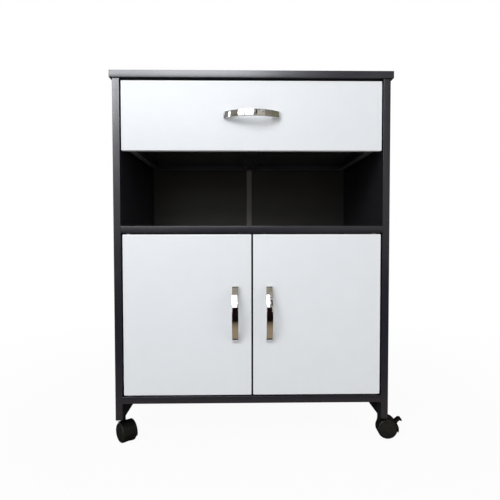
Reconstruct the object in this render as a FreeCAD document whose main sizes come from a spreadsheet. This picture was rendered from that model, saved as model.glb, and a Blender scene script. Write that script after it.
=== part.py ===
"""Microwave stand on four twin-wheel casters, with one drawer over an open bay and a two-door cupboard.

The carcass is 15 mm coated board.  The frame is +Z up, +X to the right seen from the front and +Y to the
back; the origin is on the floor under the middle of the stand's outline, handles included.
"""
import FreeCAD, Part
import math
import os
import Sketcher

doc = FreeCAD.newDocument("MicrowaveStand")
sheet = doc.addObject("Spreadsheet::Sheet", "Sizes")
nodes = {}


# ---------------------------------------------------------------------------------------------
# Sizes: each keeps its number and the spreadsheet formula that gives it, so that sums of sizes
# can be bound to a feature with setExpression.
# ---------------------------------------------------------------------------------------------

class Size:
    def __init__(self, number, formula):
        self.number = number
        self.formula = formula

    def __add__(self, other):
        other = as_size(other)
        return Size(self.number + other.number, f"({self.formula} + {other.formula})")

    def __radd__(self, other):
        return as_size(other) + self

    def __sub__(self, other):
        other = as_size(other)
        return Size(self.number - other.number, f"({self.formula} - {other.formula})")

    def __rsub__(self, other):
        return as_size(other) - self

    def __mul__(self, other):
        other = as_size(other)
        return Size(self.number * other.number, f"({self.formula} * {other.formula})")

    def __rmul__(self, other):
        return as_size(other) * self

    def __truediv__(self, other):
        other = as_size(other)
        return Size(self.number / other.number, f"({self.formula} / {other.formula})")

    def __neg__(self):
        return as_size(0) - self


def as_size(value):
    return value if isinstance(value, Size) else Size(float(value), f"({float(value)})")


def root(value):
    return Size(math.sqrt(value.number), f"sqrt({value.formula})")


def cosine(angle):
    angle = as_size(angle)
    return Size(math.cos(math.radians(angle.number)), f"cos({angle.formula})")


def sine(angle):
    angle = as_size(angle)
    return Size(math.sin(math.radians(angle.number)), f"sin({angle.formula})")


def size(name, number):
    """Write one driving dimension into the next row of the sheet and return it."""
    row = len(sheet.getUsedCells()) // 2 + 1
    sheet.set(f"A{row}", name)
    sheet.set(f"B{row}", str(number))
    sheet.setAlias(f"B{row}", name)
    return Size(float(number), f"Sizes.{name}")


# Overall
top_width = size("top_width", 600)
top_depth = size("top_depth", 400)
board = size("board_thickness", 15)
top_side_overhang = size("top_side_overhang", 5)
top_front_overhang = size("top_front_overhang", 4)
caster_height = size("caster_height", 55)
side_drop = size("side_drop_below_floor", 36)
cupboard_height = size("cupboard_clear_height", 353)
upper_height = size("drawer_and_bay_height", 312)
hardboard = size("hardboard_thickness", 3)

# Gaps round the fronts
drawer_front_height = size("drawer_front_height", 147)
drawer_top_gap = size("drawer_top_gap", 5)
drawer_side_gap = size("drawer_side_gap", 3)
door_end_gap = size("door_end_gap", 3)
door_side_gap = size("door_side_gap", 3.5)
door_centre_gap = size("door_centre_gap", 4)

# Back and its joining strip
strip_width = size("strip_width", 14)
strip_wall = size("strip_wall", 1)
back_inset = size("back_inset", 1)
panel_play = size("panel_play", 0.2)

# Loose shelf
shelf_setback = size("shelf_setback", 34)
shelf_rear_gap = size("shelf_rear_gap", 26.8)
shelf_side_play = size("shelf_side_play", 1)
shelf_pin_radius = size("shelf_pin_radius", 2.4)
shelf_pin_hole_depth = size("shelf_pin_hole_depth", 8)
shelf_pin_reach = size("shelf_pin_reach", 9)
shelf_pin_end_inset = size("shelf_pin_end_inset", 62)
shelf_hole_spacing = size("shelf_hole_spacing", 32)
shelf_pin_height = size("shelf_pin_height", 170)

# Knock-down fittings between the boards
cam_radius = size("cam_radius", 7.4)
cam_depth = size("cam_depth", 12)
cam_setback = size("cam_setback", 24)
cam_end_inset = size("cam_end_inset", 50)
cam_slot_width = size("cam_slot_width", 1.6)
cam_slot_length = size("cam_slot_length", 9)
cam_slot_depth = size("cam_slot_depth", 1.5)
bolt_thread_radius = size("bolt_thread_radius", 2.5)
bolt_thread_length = size("bolt_thread_length", 10)
bolt_shank_radius = size("bolt_shank_radius", 3)
bolt_head_radius = size("bolt_head_radius", 3.4)
dowel_radius = size("dowel_radius", 4)
dowel_in_end = size("dowel_length_in_end", 20)
dowel_in_face = size("dowel_length_in_face", 10)
dowel_spacing = size("dowel_spacing_from_cam", 32)
fitting_play = size("fitting_play", 0.1)

# Drawer box and its ball slides
slide_gap = size("slide_gap", 12.7)
drawer_box_height = size("drawer_box_height", 120)
drawer_rear_gap = size("drawer_rear_gap", 50.8)
drawer_box_rise = size("drawer_box_rise", 3)
groove_rise = size("groove_rise", 10)
groove_depth = size("groove_depth", 6)
brace_width = size("brace_width", 45)
brace_thickness = size("brace_thickness", 8)
slide_length = size("slide_length", 300)
slide_height = size("slide_height", 35)
slide_steel = size("slide_steel", 1.2)
slide_bend = size("slide_bend_radius", 2.5)
slide_rise = size("slide_rise", 50)
slide_front_inset = size("slide_front_inset", 2)
slide_overlap = size("slide_overlap", 75)
slide_ball_radius = size("slide_ball_radius", 2)
slide_ball_play = size("slide_ball_play", 0.2)
slide_ball_pitch = size("slide_ball_pitch", 18)
cage_steel = size("cage_steel", 0.7)
cage_end_play = size("cage_end_play", 1.5)
lip_angle = size("slide_lip_angle", -15)
curl_angle = size("slide_curl_angle", 205)

# Bow handles
handle_length = size("handle_length", 120)
handle_reach = size("handle_reach", 32)
handle_end_depth = size("handle_end_depth", 6)
handle_width = size("handle_width", 14)
handle_strap = size("handle_strap", 4.5)
handle_foot = size("handle_foot", 18)
handle_hole_spacing = size("handle_hole_spacing", 96)
handle_edge_round = size("handle_edge_round", 1)
handle_corner_round = size("handle_corner_round", 3)
handle_screw_radius = size("handle_screw_radius", 2)
handle_screw_depth = size("handle_screw_depth", 9)
screw_head_radius = size("screw_head_radius", 4)
screw_head_height = size("screw_head_height", 2.4)
door_handle_inset = size("door_handle_inset", 34.5)
door_handle_height = size("door_handle_height", 176.5)

# Door pivots, catch and strike plates
pivot_inset = size("pivot_inset", 12)
pivot_radius = size("pivot_radius", 2.5)
pivot_reach = size("pivot_reach", 7)
pivot_body_radius = size("pivot_body_radius", 4)
pivot_body_length = size("pivot_body_length", 16)
pivot_collar_radius = size("pivot_collar_radius", 5.5)
pivot_collar = size("pivot_collar", 1)
bush_radius = size("bush_radius", 5)
bush_depth = size("bush_depth", 9)
bush_flange_radius = size("bush_flange_radius", 6)
bush_flange = size("bush_flange", 1)
running_play = size("running_play", 0.05)
catch_width = size("catch_width", 46)
catch_depth = size("catch_depth", 18)
catch_height = size("catch_height", 13)
catch_gap = size("catch_gap", 0.5)
strike_width = size("strike_width", 18)
strike_height = size("strike_height", 12)
strike_steel = size("strike_steel", 1)
strike_offset = size("strike_offset", 12)

# Twin-wheel casters
stem_inset = size("stem_inset", 35)
stem_radius = size("stem_radius", 4)
stem_base = size("stem_base", 34)
stem_in_side = size("stem_in_side", 34)
socket_radius = size("socket_radius", 5.4)
socket_flange_radius = size("socket_flange_radius", 7)
socket_flange = size("socket_flange", 1.2)
swivel_gap = size("swivel_gap", 0.4)
trail = size("trail", 15)
wheel_radius = size("wheel_radius", 22)
caster_width = size("caster_width", 32)
web_width = size("hood_web_width", 10)
wheel_side_gap = size("wheel_side_gap", 0.5)
fender_width = size("fender_width", 31)
fender_gap = size("fender_gap", 0.8)
fender_wall = size("fender_wall", 1.3)
web_reach = size("hood_web_reach", 19.5)
hood_start = size("hood_start_angle", -16)
hood_end = size("hood_end_angle", 118)
neck_radius = size("neck_radius", 5.6)
axle_radius = size("axle_radius", 3)
lever_pivot_radius = size("lever_pivot_distance", 17)
lever_pivot_angle = size("lever_pivot_angle", 36)
lever_width = size("lever_width", 12)
lever_lug_width = size("lever_lug_width", 4.8)
lever_slot_play = size("lever_slot_play", 0.3)
lever_pin_radius = size("lever_pin_radius", 1.5)
shoe_width = size("shoe_width", 18)
shoe_start = size("shoe_start_angle", 27)
shoe_end = size("shoe_end_angle", 45)
swivel_front_left = size("swivel_front_left", -51)
swivel_front_right = size("swivel_front_right", -3)
swivel_rear_right = size("swivel_rear_right", 118)

doc.recompute()

# Levels and planes worked out from the driving sizes
body_half = top_width / 2 - top_side_overhang
inner_half = body_half - board
body_depth = top_depth - top_front_overhang - hardboard - back_inset
front = -((top_depth - top_front_overhang - handle_reach) / 2)
back = front + body_depth
cross_back = back - strip_wall - panel_play
shelf_front = front + shelf_setback
shelf_depth = cross_back - shelf_rear_gap - shelf_front
drawer_box_length = cross_back - drawer_rear_gap - front - board
floor_bottom = caster_height + side_drop
floor_top = floor_bottom + board
shelf_bottom = floor_top + cupboard_height
shelf_top = shelf_bottom + board
top_bottom = shelf_top + upper_height
drawer_front_bottom = top_bottom - drawer_top_gap - drawer_front_height
box_bottom = drawer_front_bottom + drawer_box_rise
box_half = inner_half - slide_gap
door_bottom = floor_top + door_end_gap
door_height = cupboard_height - 2 * door_end_gap
door_outer = inner_half - door_side_gap
door_width = door_outer - door_centre_gap / 2
pivot_x = door_outer - pivot_inset
pivot_y = front + board / 2
stem_x = body_half - board / 2
front_stem_y = front + stem_inset
rear_stem_y = back - stem_inset


# ---------------------------------------------------------------------------------------------
# Modelling helpers
# ---------------------------------------------------------------------------------------------

UP = FreeCAD.Vector(0, 0, 1)
TURNS = {
    "+Z": FreeCAD.Rotation(UP, 0),
    "-Z": FreeCAD.Rotation(FreeCAD.Vector(1, 0, 0), 180),
    "+X": FreeCAD.Rotation(FreeCAD.Vector(0, 1, 0), 90),
    "-X": FreeCAD.Rotation(FreeCAD.Vector(0, 1, 0), -90),
    "-Y": FreeCAD.Rotation(FreeCAD.Vector(1, 0, 0), 90),
}


def bind(item, name, value):
    item.setExpression(name, as_size(value).formula)


def place(item, base, rotation=None):
    """Put an object at a bound point, turned by a fixed rotation."""
    if rotation is not None:
        item.Placement = FreeCAD.Placement(FreeCAD.Vector(0, 0, 0), rotation)
    for axis, value in zip("xyz", base):
        bind(item, f"Placement.Base.{axis}", value)
    return item


def place_swivelled(item, base, angle):
    """Put an object at a bound point, turned about the vertical by a bound angle."""
    x, y, z = [as_size(value).formula for value in base]
    turn = f"create(<<rotation>>; create(<<vector>>; 0; 0; 1); {as_size(angle).formula})"
    item.setExpression("Placement", f"create(<<placement>>; create(<<vector>>; {x}; {y}; {z}); {turn})")
    return item


def node(label, item):
    item.Label = label
    nodes[label] = item
    return item


def block(corner, extent):
    item = doc.addObject("Part::Box", "Block")
    for name, value in zip(("Length", "Width", "Height"), extent):
        bind(item, name, value)
    return place(item, corner)


def rod(radius, length, base, direction="+Z"):
    item = doc.addObject("Part::Cylinder", "Rod")
    bind(item, "Radius", radius)
    bind(item, "Height", length)
    return place(item, base, TURNS[direction])


def group(items, name="Group"):
    item = doc.addObject("Part::Compound", name)
    item.Links = items
    return item


def copy_of(master, base, rotation=None):
    """Repeat a master, keeping the master's own placement under the copy's."""
    item = doc.addObject("App::Link", "Copy")
    item.LinkedObject = master
    item.LinkTransform = True
    return place(item, base, rotation)


def cut(base, tools):
    item = doc.addObject("Part::Cut", "Cut")
    item.Base = base
    item.Tool = tools[0] if len(tools) == 1 else group(tools, "Tools")
    return item


def fuse(items):
    item = doc.addObject("Part::MultiFuse", "Fused")
    item.Shapes = items
    item.Refine = True
    return item


def new_body(label):
    return doc.addObject("PartDesign::Body", label)


def new_sketch(body, role):
    plane = next(item for item in body.Origin.OriginFeatures if item.Role == role)
    sketch = body.newObject("Sketcher::SketchObject", "Sketch")
    sketch.AttachmentSupport = [(plane, "")]
    sketch.MapMode = "FlatFace"
    return sketch


def lifted(sketch, level):
    """Raise an XY sketch to a bound level."""
    bind(sketch, "AttachmentOffset.Base.z", level)
    return sketch


def fix(sketch, kind, piece, end, value):
    """Fix one coordinate of a vertex from the sketch's origin, bound to its size."""
    value = as_size(value)
    index = sketch.addConstraint(Sketcher.Constraint(kind, -1, 1, piece, end, value.number))
    bind(sketch, f"Constraints[{index}]", value)


def outline(sketch, start, steps):
    """Draw a closed outline from start: each step is a point for a line, or (point, centre, turn) for an
    arc whose turn is +1 anticlockwise or -1 clockwise.  The last step is a line back to start."""
    first = sketch.GeometryCount
    points = [start] + [step[0] if len(step) == 3 else step for step in steps] + [start]
    for index, step in enumerate(list(steps) + [start]):
        here = [as_size(value).number for value in points[index]]
        there = [as_size(value).number for value in points[index + 1]]
        if len(step) == 3:
            centre = [as_size(value).number for value in step[1]]
            ends = (here, there) if step[2] > 0 else (there, here)
            from_angle, to_angle = [math.atan2(y - centre[1], x - centre[0]) for x, y in ends]
            circle = Part.Circle(FreeCAD.Vector(*centre, 0), UP, math.dist(here, centre))
            sweep = (to_angle - from_angle) % (2 * math.pi)
            sketch.addGeometry(Part.ArcOfCircle(circle, from_angle, from_angle + sweep))
        else:
            sketch.addGeometry(Part.LineSegment(*[FreeCAD.Vector(x, y, 0) for x, y in (here, there)]))
    last = sketch.GeometryCount - 1
    backward = [len(step) == 3 and step[2] < 0 for step in list(steps) + [start]]
    heads = [2 if flag else 1 for flag in backward]
    tails = [1 if flag else 2 for flag in backward]
    for index in range(first, last + 1):
        following = first if index == last else index + 1
        ends = (index, tails[index - first], following, heads[following - first])
        sketch.addConstraint(Sketcher.Constraint("Coincident", *ends))
    for index, step in enumerate([()] + list(steps)):
        x, y = points[index]
        keep_x = keep_y = True
        if len(step) == 3:
            centre_x, centre_y = step[1]
            fix(sketch, "DistanceX", first + index - 1, 3, centre_x)
            fix(sketch, "DistanceY", first + index - 1, 3, centre_y)
            reach_x = abs(as_size(x).number - as_size(centre_x).number)
            reach_y = abs(as_size(y).number - as_size(centre_y).number)
            keep_x = reach_y >= reach_x
            keep_y = not keep_x
        if keep_x:
            fix(sketch, "DistanceX", first + index, heads[index], x)
        if keep_y:
            fix(sketch, "DistanceY", first + index, heads[index], y)


def ring(sketch, centre, radius):
    middle = FreeCAD.Vector(*[as_size(value).number for value in centre], 0)
    circle = Part.Circle(middle, UP, as_size(radius).number)
    index = sketch.addGeometry(circle)
    fix(sketch, "DistanceX", index, 3, centre[0])
    fix(sketch, "DistanceY", index, 3, centre[1])
    mark = sketch.addConstraint(Sketcher.Constraint("Radius", index, as_size(radius).number))
    bind(sketch, f"Constraints[{mark}]", radius)


def feature(body, kind, sketch, length=None, side="Symmetric", reverse=False):
    """Pad or pocket a sketch by a bound length, or right through when no length is given."""
    item = body.newObject(f"PartDesign::{kind}", kind)
    item.Profile = sketch
    if length is None:
        item.Type = "ThroughAll"
    else:
        bind(item, "Length", length)
    item.SideType = side
    item.Reversed = reverse
    body.Tip = item
    return item


def turned(body, role, axis, start, steps):
    """Turn a closed half-profile about one axis of its sketch."""
    sketch = new_sketch(body, role)
    outline(sketch, start, steps)
    item = body.newObject("PartDesign::Revolution", "Revolution")
    item.Profile = sketch
    item.ReferenceAxis = (sketch, [axis])
    item.Angle = 360
    body.Tip = item
    return item


def polar(centre, radius, angle):
    return centre[0] + radius * cosine(angle), centre[1] + radius * sine(angle)


# ---------------------------------------------------------------------------------------------
# Knock-down fittings: a cam in one board draws in the head of a bolt screwed into the next
# ---------------------------------------------------------------------------------------------

def cam_lock_master():
    """A cam lock on its own origin: its bolt comes in along +X and its slotted face looks down."""
    face = -(board / 2)
    drum = rod(cam_radius, cam_depth, (0, 0, face))
    slots = [
        block((-(long / 2), -(wide / 2), face), (long, wide, cam_slot_depth))
        for long, wide in ((cam_slot_length, cam_slot_width), (cam_slot_width, cam_slot_length))
    ]
    throat = rod(bolt_head_radius + 2 * fitting_play, cam_radius + 4, (-4, 0, 0), "+X")
    return cut(drum, slots + [throat])


def cam_bolt_master():
    """Thread, shank, neck and head of a cam bolt, its head on the cam's centre and its thread along +X."""
    body = new_body("CamBolt")
    end = cam_setback + bolt_thread_length
    neck = bolt_head_radius - 1.4
    points = [
        (-3, bolt_head_radius), (0.5, bolt_head_radius), (0.5, neck), (4, neck), (4, bolt_shank_radius),
        (cam_setback, bolt_shank_radius), (cam_setback, bolt_thread_radius), (end, bolt_thread_radius),
        (end, 0),
    ]
    turned(body, "XY_Plane", "H_Axis", (-3, 0), points)
    return body


def dowel_master():
    """A fluted beech dowel's plain outline: the face of the drilled board is at its origin, +X into it."""
    body = new_body("Dowel")
    taper = 1
    tail = -dowel_in_end
    tip = dowel_in_face - 2 * fitting_play
    points = [
        (tail, dowel_radius - taper), (tail + taper, dowel_radius), (tip - taper, dowel_radius),
        (tip, dowel_radius - taper), (tip, 0),
    ]
    turned(body, "XY_Plane", "H_Axis", (tail, 0), points)
    return body


def fitting_cutter_master():
    """The holes of one cam joint: the cam's pocket, the bolt's channel and its pilot hole."""
    face = -(board / 2)
    pocket = rod(cam_radius + fitting_play, cam_depth + fitting_play, (0, 0, face))
    channel = rod(bolt_head_radius + 2 * fitting_play, cam_setback, (0, 0, 0), "+X")
    pilot_depth = bolt_thread_length + fitting_play
    pilot = rod(bolt_thread_radius + fitting_play, pilot_depth, (cam_setback, 0, 0), "+X")
    return fuse([pocket, channel, pilot])


def dowel_cutter_master():
    length = dowel_in_end + dowel_in_face + fitting_play
    return rod(dowel_radius + fitting_play, length, (-dowel_in_end - fitting_play, 0, 0), "+X")


def toward(x_axis, y_axis, z_axis):
    return FreeCAD.Rotation(FreeCAD.Vector(*x_axis), FreeCAD.Vector(*y_axis), FreeCAD.Vector(*z_axis), "XZY")


def fitting_places():
    """Cam centres and dowel faces of the six board joints, as (cam base, dowel base, rotation)."""
    places = []
    ends = ((front + cam_end_inset, dowel_spacing), (back - cam_end_inset, -dowel_spacing))
    for end_y, dowel_step in ends:
        for side in (-1, 1):
            level = toward((side, 0, 0), (0, side, 0), (0, 0, 1))
            for bottom in (floor_bottom, shelf_bottom):
                middle = bottom + board / 2
                cam = (side * (inner_half - cam_setback), end_y, middle)
                dowel = (side * inner_half, end_y + dowel_step, middle)
                places.append((cam, dowel, level))
            upright = toward((0, 0, 1), (0, -side, 0), (side, 0, 0))
            cam = (side * (inner_half + board / 2), end_y, top_bottom - cam_setback)
            dowel = (side * (inner_half + board / 2), end_y + dowel_step, top_bottom)
            places.append((cam, dowel, upright))
    return places


def make_fittings():
    """Make the cams, bolts and dowels, and return the cutter that drills every board for them."""
    lock, bolt, dowel = cam_lock_master(), cam_bolt_master(), dowel_master()
    fitting_cutter, dowel_cutter = fitting_cutter_master(), dowel_cutter_master()
    locks, bolts, dowels, cutters = [], [], [], []
    for cam_base, dowel_base, rotation in fitting_places():
        locks.append(copy_of(lock, cam_base, rotation))
        bolts.append(copy_of(bolt, cam_base, rotation))
        dowels.append(copy_of(dowel, dowel_base, rotation))
        cutters.append(copy_of(fitting_cutter, cam_base, rotation))
        cutters.append(copy_of(dowel_cutter, dowel_base, rotation))
    node("cam_locks", group(locks))
    node("cam_bolts", group(bolts))
    node("dowels", group(dowels))
    return group(cutters, "BoardCutter")


# ---------------------------------------------------------------------------------------------
# Carcass boards, back and loose shelf
# ---------------------------------------------------------------------------------------------

def shelf_pin_places():
    """The side and depth of each of the four pins under the loose shelf."""
    depths = (shelf_front + shelf_pin_end_inset, shelf_front + shelf_depth - shelf_pin_end_inset)
    return [(side, y) for side in (-1, 1) for y in depths]


def make_side_panel(label, side, board_cutter):
    """An upright with shelf-pin holes inside and two stem sockets bored up into its lower edge."""
    corner_x = inner_half if side > 0 else -body_half
    panel = block((corner_x, front, caster_height), (board, body_depth, top_bottom - caster_height))
    holes = [board_cutter]
    for stem_y in (front_stem_y, rear_stem_y):
        bore = socket_radius + fitting_play
        holes.append(rod(bore, stem_in_side + 2 + fitting_play, (side * stem_x, stem_y, caster_height)))
    for pin_side, pin_y in shelf_pin_places():
        if pin_side != side:
            continue
        for step in (-1, 0, 1):
            level = floor_top + shelf_pin_height + step * shelf_hole_spacing
            radius = shelf_pin_radius + fitting_play
            depth = shelf_pin_hole_depth + fitting_play
            holes.append(rod(radius, depth, (side * inner_half, pin_y, level), "+X" if side > 0 else "-X"))
    node(label, cut(panel, holes))


def make_cross_panel(label, bottom, pivot_face, pivot_direction, board_cutter):
    """A board between the sides, drilled for the two door pivot bushes next to its front edge."""
    panel = block((-inner_half, front, bottom), (2 * inner_half, cross_back - front, board))
    room = bush_radius + fitting_play
    bushes = [
        rod(room, bush_depth + fitting_play, (side * pivot_x, pivot_y, pivot_face), pivot_direction)
        for side in (-1, 1)
    ]
    node(label, cut(panel, [board_cutter] + bushes))


def make_boards():
    board_cutter = make_fittings()
    top = block((-(top_width / 2), front - top_front_overhang, top_bottom), (top_width, top_depth, board))
    node("top_panel", cut(top, [board_cutter]))
    make_side_panel("side_panel_left", -1, board_cutter)
    make_side_panel("side_panel_right", 1, board_cutter)
    make_cross_panel("middle_shelf", shelf_bottom, shelf_bottom, "+Z", board_cutter)
    make_cross_panel("bottom_panel", floor_bottom, floor_top, "-Z", board_cutter)


def make_back():
    """Two hardboard sheets nailed on behind the sides, joined by a plastic strip of H section."""
    sheet_width = body_half - 1 - strip_wall / 2 - panel_play
    sheet_bottom = floor_bottom + 2
    sheet_height = top_bottom - panel_play - sheet_bottom
    for label, corner_x in (("left", 1 - body_half), ("right", strip_wall / 2 + panel_play)):
        sheet_box = block((corner_x, back, sheet_bottom), (sheet_width, hardboard, sheet_height))
        node(f"back_panel_{label}", sheet_box)
    body = new_body("JoinerStrip")
    sketch = new_sketch(body, "XY_Plane")
    half, web = strip_width / 2, strip_wall / 2
    inside, outside = back - panel_play, back + hardboard
    rear = outside + strip_wall
    outline(sketch, (-half, inside - strip_wall), [
        (half, inside - strip_wall), (half, inside), (web, inside), (web, outside), (half, outside),
        (half, rear), (-half, rear), (-half, outside), (-web, outside), (-web, inside), (-half, inside),
    ])
    feature(body, "Pad", sketch, sheet_height, side="One side")
    node("back_joiner_strip", place(body, (0, 0, sheet_bottom)))


def make_loose_shelf():
    """The cupboard's loose shelf, resting on four push-in pins."""
    pin_level = floor_top + shelf_pin_height
    width = 2 * (inner_half - shelf_side_play)
    corner = (-(width / 2), shelf_front, pin_level + shelf_pin_radius + running_play)
    node("loose_shelf", block(corner, (width, shelf_depth, board)))
    pin = new_body("ShelfPin")
    collar = shelf_pin_radius + 1.4
    rim = shelf_side_play * 0.8
    turned(pin, "XY_Plane", "H_Axis", (-shelf_pin_reach, 0), [
        (-shelf_pin_reach, shelf_pin_radius), (-rim, shelf_pin_radius), (-rim, collar), (0, collar),
        (0, shelf_pin_radius), (shelf_pin_hole_depth, shelf_pin_radius), (shelf_pin_hole_depth, 0),
    ])
    pins = [
        copy_of(pin, (side * inner_half, y, pin_level), toward((side, 0, 0), (0, side, 0), (0, 0, 1)))
        for side, y in shelf_pin_places()
    ]
    node("shelf_pins", group(pins))


# ---------------------------------------------------------------------------------------------
# Handles
# ---------------------------------------------------------------------------------------------

def make_handle(label, base, rotation=None):
    """A cast bow handle: two solid feet and a strap bent to one arc, drawn with its feet on y = 0."""
    body = new_body("Handle")
    half = handle_length / 2
    rise = handle_reach - handle_end_depth
    bow = (half * half + rise * rise) / (2 * rise)
    centre = (0, bow - handle_reach)
    inner = half - handle_foot
    inner_bow = bow - handle_strap
    inner_y = centre[1] - root(inner_bow * inner_bow - inner * inner)
    sketch = new_sketch(body, "XY_Plane")
    outline(sketch, (-half, 0), [
        (-half, -handle_end_depth), ((half, -handle_end_depth), centre, 1), (half, 0), (inner, 0),
        (inner, inner_y), ((-inner, inner_y), centre, -1), (-inner, 0),
    ])
    pad = feature(body, "Pad", sketch, handle_width)
    doc.recompute()
    corners = []
    for index, edge in enumerate(pad.Shape.Edges):
        low, high = edge.BoundBox.ZMin, edge.BoundBox.ZMax
        upright = high - low > handle_width.number * 0.9
        if upright and edge.BoundBox.YMax < -handle_end_depth.number / 2:
            corners.append(f"Edge{index + 1}")
    soften = body.newObject("PartDesign::Fillet", "Corners")
    soften.Base = (pad, corners)
    bind(soften, "Radius", handle_corner_round)
    body.Tip = soften
    doc.recompute()
    flanks = [
        f"Face{index + 1}" for index, face in enumerate(soften.Shape.Faces)
        if face.BoundBox.ZLength < 0.01
    ]
    rims = body.newObject("PartDesign::Fillet", "Rims")
    rims.Base = (soften, flanks)
    bind(rims, "Radius", handle_edge_round)
    body.Tip = rims
    holes = new_sketch(body, "XZ_Plane")
    for side in (-1, 1):
        ring(holes, (side * handle_hole_spacing / 2, 0), handle_screw_radius + fitting_play)
    feature(body, "Pocket", holes, handle_screw_depth + fitting_play, side="One side", reverse=True)
    node(label, place(body, base, rotation))


def make_handle_screws(label, places):
    """Pan-head screws through a front from behind into the handle's feet; +X is the screw's point."""
    screw = new_body("HandleScrew")
    length = board + handle_screw_depth
    crown = screw_head_height * 0.5
    turned(screw, "XY_Plane", "H_Axis", (-screw_head_height, 0), [
        (-screw_head_height, screw_head_radius * 0.6), (-crown, screw_head_radius), (0, screw_head_radius),
        (0, handle_screw_radius), (length, handle_screw_radius), (length, 0),
    ])
    forward = toward((0, -1, 0), (1, 0, 0), (0, 0, 1))
    node(label, group([copy_of(screw, base, forward) for base in places]))


def screw_holes(places):
    return [rod(handle_screw_radius + fitting_play, board, base, "-Y") for base in places]


# ---------------------------------------------------------------------------------------------
# Drawer and its ball slides
# ---------------------------------------------------------------------------------------------

def make_drawer_box():
    """A grooved box: the hardboard bottom sits in grooves on all four sides and a batten stiffens it."""
    behind = front + board
    box_back = behind + drawer_box_length
    groove_bottom = box_bottom + groove_rise
    inside = box_half - board
    slot = hardboard + panel_play
    groove = block(
        (-(inside + groove_depth), behind - groove_depth, groove_bottom),
        (2 * (inside + groove_depth), drawer_box_length - board + 2 * groove_depth, slot),
    )
    handle_level = drawer_front_bottom + drawer_front_height / 2
    screw_places = [(side * handle_hole_spacing / 2, behind, handle_level) for side in (-1, 1)]
    face = block(
        (drawer_side_gap - inner_half, front, drawer_front_bottom),
        (2 * (inner_half - drawer_side_gap), board, drawer_front_height),
    )
    node("drawer_front", cut(face, [groove] + screw_holes(screw_places)))
    for label, corner_x in (("drawer_side_left", -box_half), ("drawer_side_right", inside)):
        side = block((corner_x, behind, box_bottom), (board, drawer_box_length, drawer_box_height))
        node(label, cut(side, [groove]))
    rear = block((-inside, box_back - board, box_bottom), (2 * inside, board, drawer_box_height))
    node("drawer_back", cut(rear, [groove]))
    play = panel_play / 2
    reach = groove_depth - play
    node("drawer_bottom", block(
        (-(inside + reach), behind - reach, groove_bottom + play),
        (2 * (inside + reach), drawer_box_length - board + 2 * reach, hardboard),
    ))
    node("drawer_bottom_brace", block(
        (-(brace_width / 2), behind, groove_bottom - brace_thickness),
        (brace_width, drawer_box_length - board, brace_thickness),
    ))
    make_handle("drawer_handle", (0, front, handle_level))
    make_handle_screws("drawer_handle_screws", screw_places)


slide_travel = slide_length - slide_overlap
ball_x = slide_gap / 2
ball_room = slide_ball_radius + slide_ball_play
ball_z = slide_height / 2 - ball_room - slide_steel
cage_length = slide_overlap - 2 * cage_end_play


def mirrored(points, centre_list):
    """Follow a profile's upper half by its mirror image in the middle plane z = 0."""
    lower = []
    for index in range(len(points) - 1, 0, -1):
        x, z = points[index - 1]
        target = (x, -z)
        centre = centre_list[index]
        lower.append(target if centre is None else (target, (centre[0][0], -centre[0][1]), centre[1]))
    return lower


def slide_profile(sketch, upper):
    """Draw a channel section that is the same above and below its middle plane."""
    points = [step[0] if len(step) == 3 else step for step in upper]
    centres = [(step[1], step[2]) if len(step) == 3 else None for step in upper]
    steps = upper[1:]
    first = points[0]
    lower = mirrored(points, centres)
    tail = (points[-1][0], -points[-1][1])
    outline(sketch, first, list(steps) + [tail] + lower)


def slide_section_cabinet():
    """Upper half of the outer member: web on the cabinet side, flange over the balls, lip behind them."""
    top = slide_height / 2
    bend, steel = slide_bend, slide_steel
    centre = (ball_x, ball_z)
    outer_tip = polar(centre, ball_room + steel, lip_angle)
    inner_tip = polar(centre, ball_room, lip_angle)
    return [
        (0, top - bend), ((bend, top), (bend, top - bend), -1), (ball_x, top), (outer_tip, centre, -1),
        inner_tip,
        ((ball_x, top - steel), centre, 1), (bend, top - steel),
        ((steel, top - bend), (bend, top - bend), 1),
    ]


def slide_section_drawer():
    """Upper half of the inner member: web on the drawer side, flange under the balls, curl before them."""
    roof = ball_z - ball_room
    bend, steel = slide_bend, slide_steel
    centre = (ball_x, ball_z)
    outer_tip = polar(centre, ball_room + steel, curl_angle)
    inner_tip = polar(centre, ball_room, curl_angle)
    corner = (slide_gap - bend, roof - bend)
    return [
        (slide_gap, roof - bend), ((slide_gap - bend, roof), corner, 1), (ball_x, roof),
        (inner_tip, centre, -1),
        outer_tip, ((ball_x, roof - steel), centre, 1), (slide_gap - bend, roof - steel),
        ((slide_gap - steel, roof - bend), corner, -1),
    ]


def make_slides():
    """Two-member ball slides: each drawer member runs on two rows of balls kept apart by a cage."""
    level = box_bottom + slide_rise
    start = front + board + slide_front_inset
    half_turn = FreeCAD.Rotation(UP, 180)
    cage_start = start + slide_travel / 2 + cage_end_play
    balls = []
    for name, side in (("left", -1), ("right", 1)):
        for kind, section in (("cabinet", slide_section_cabinet()), ("drawer", slide_section_drawer())):
            body = new_body("SlideMember")
            sketch = new_sketch(body, "XZ_Plane")
            slide_profile(sketch, section)
            feature(body, "Pad", sketch, slide_length, side="One side", reverse=side < 0)
            place_slide(body, side, start, level, half_turn)
            node(f"slide_{kind}_member_{name}", body)
        node(f"slide_ball_cage_{name}", make_cage(side, cage_start, level, half_turn))
        first = cage_start + (cage_length - 3 * slide_ball_pitch) / 2
        for step in range(4):
            for height in (-1, 1):
                ball = doc.addObject("Part::Sphere", "Ball")
                bind(ball, "Radius", slide_ball_radius)
                x = side * (inner_half - ball_x)
                balls.append(place(ball, (x, first + step * slide_ball_pitch, level + height * ball_z)))
    node("slide_balls", group(balls))


def place_slide(item, side, start, level, half_turn):
    """Sections are drawn with +x from the cabinet side towards the drawer and lengthened towards +Y."""
    if side > 0:
        return place(item, (inner_half, start, level), half_turn)
    return place(item, (-inner_half, start, level))


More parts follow.
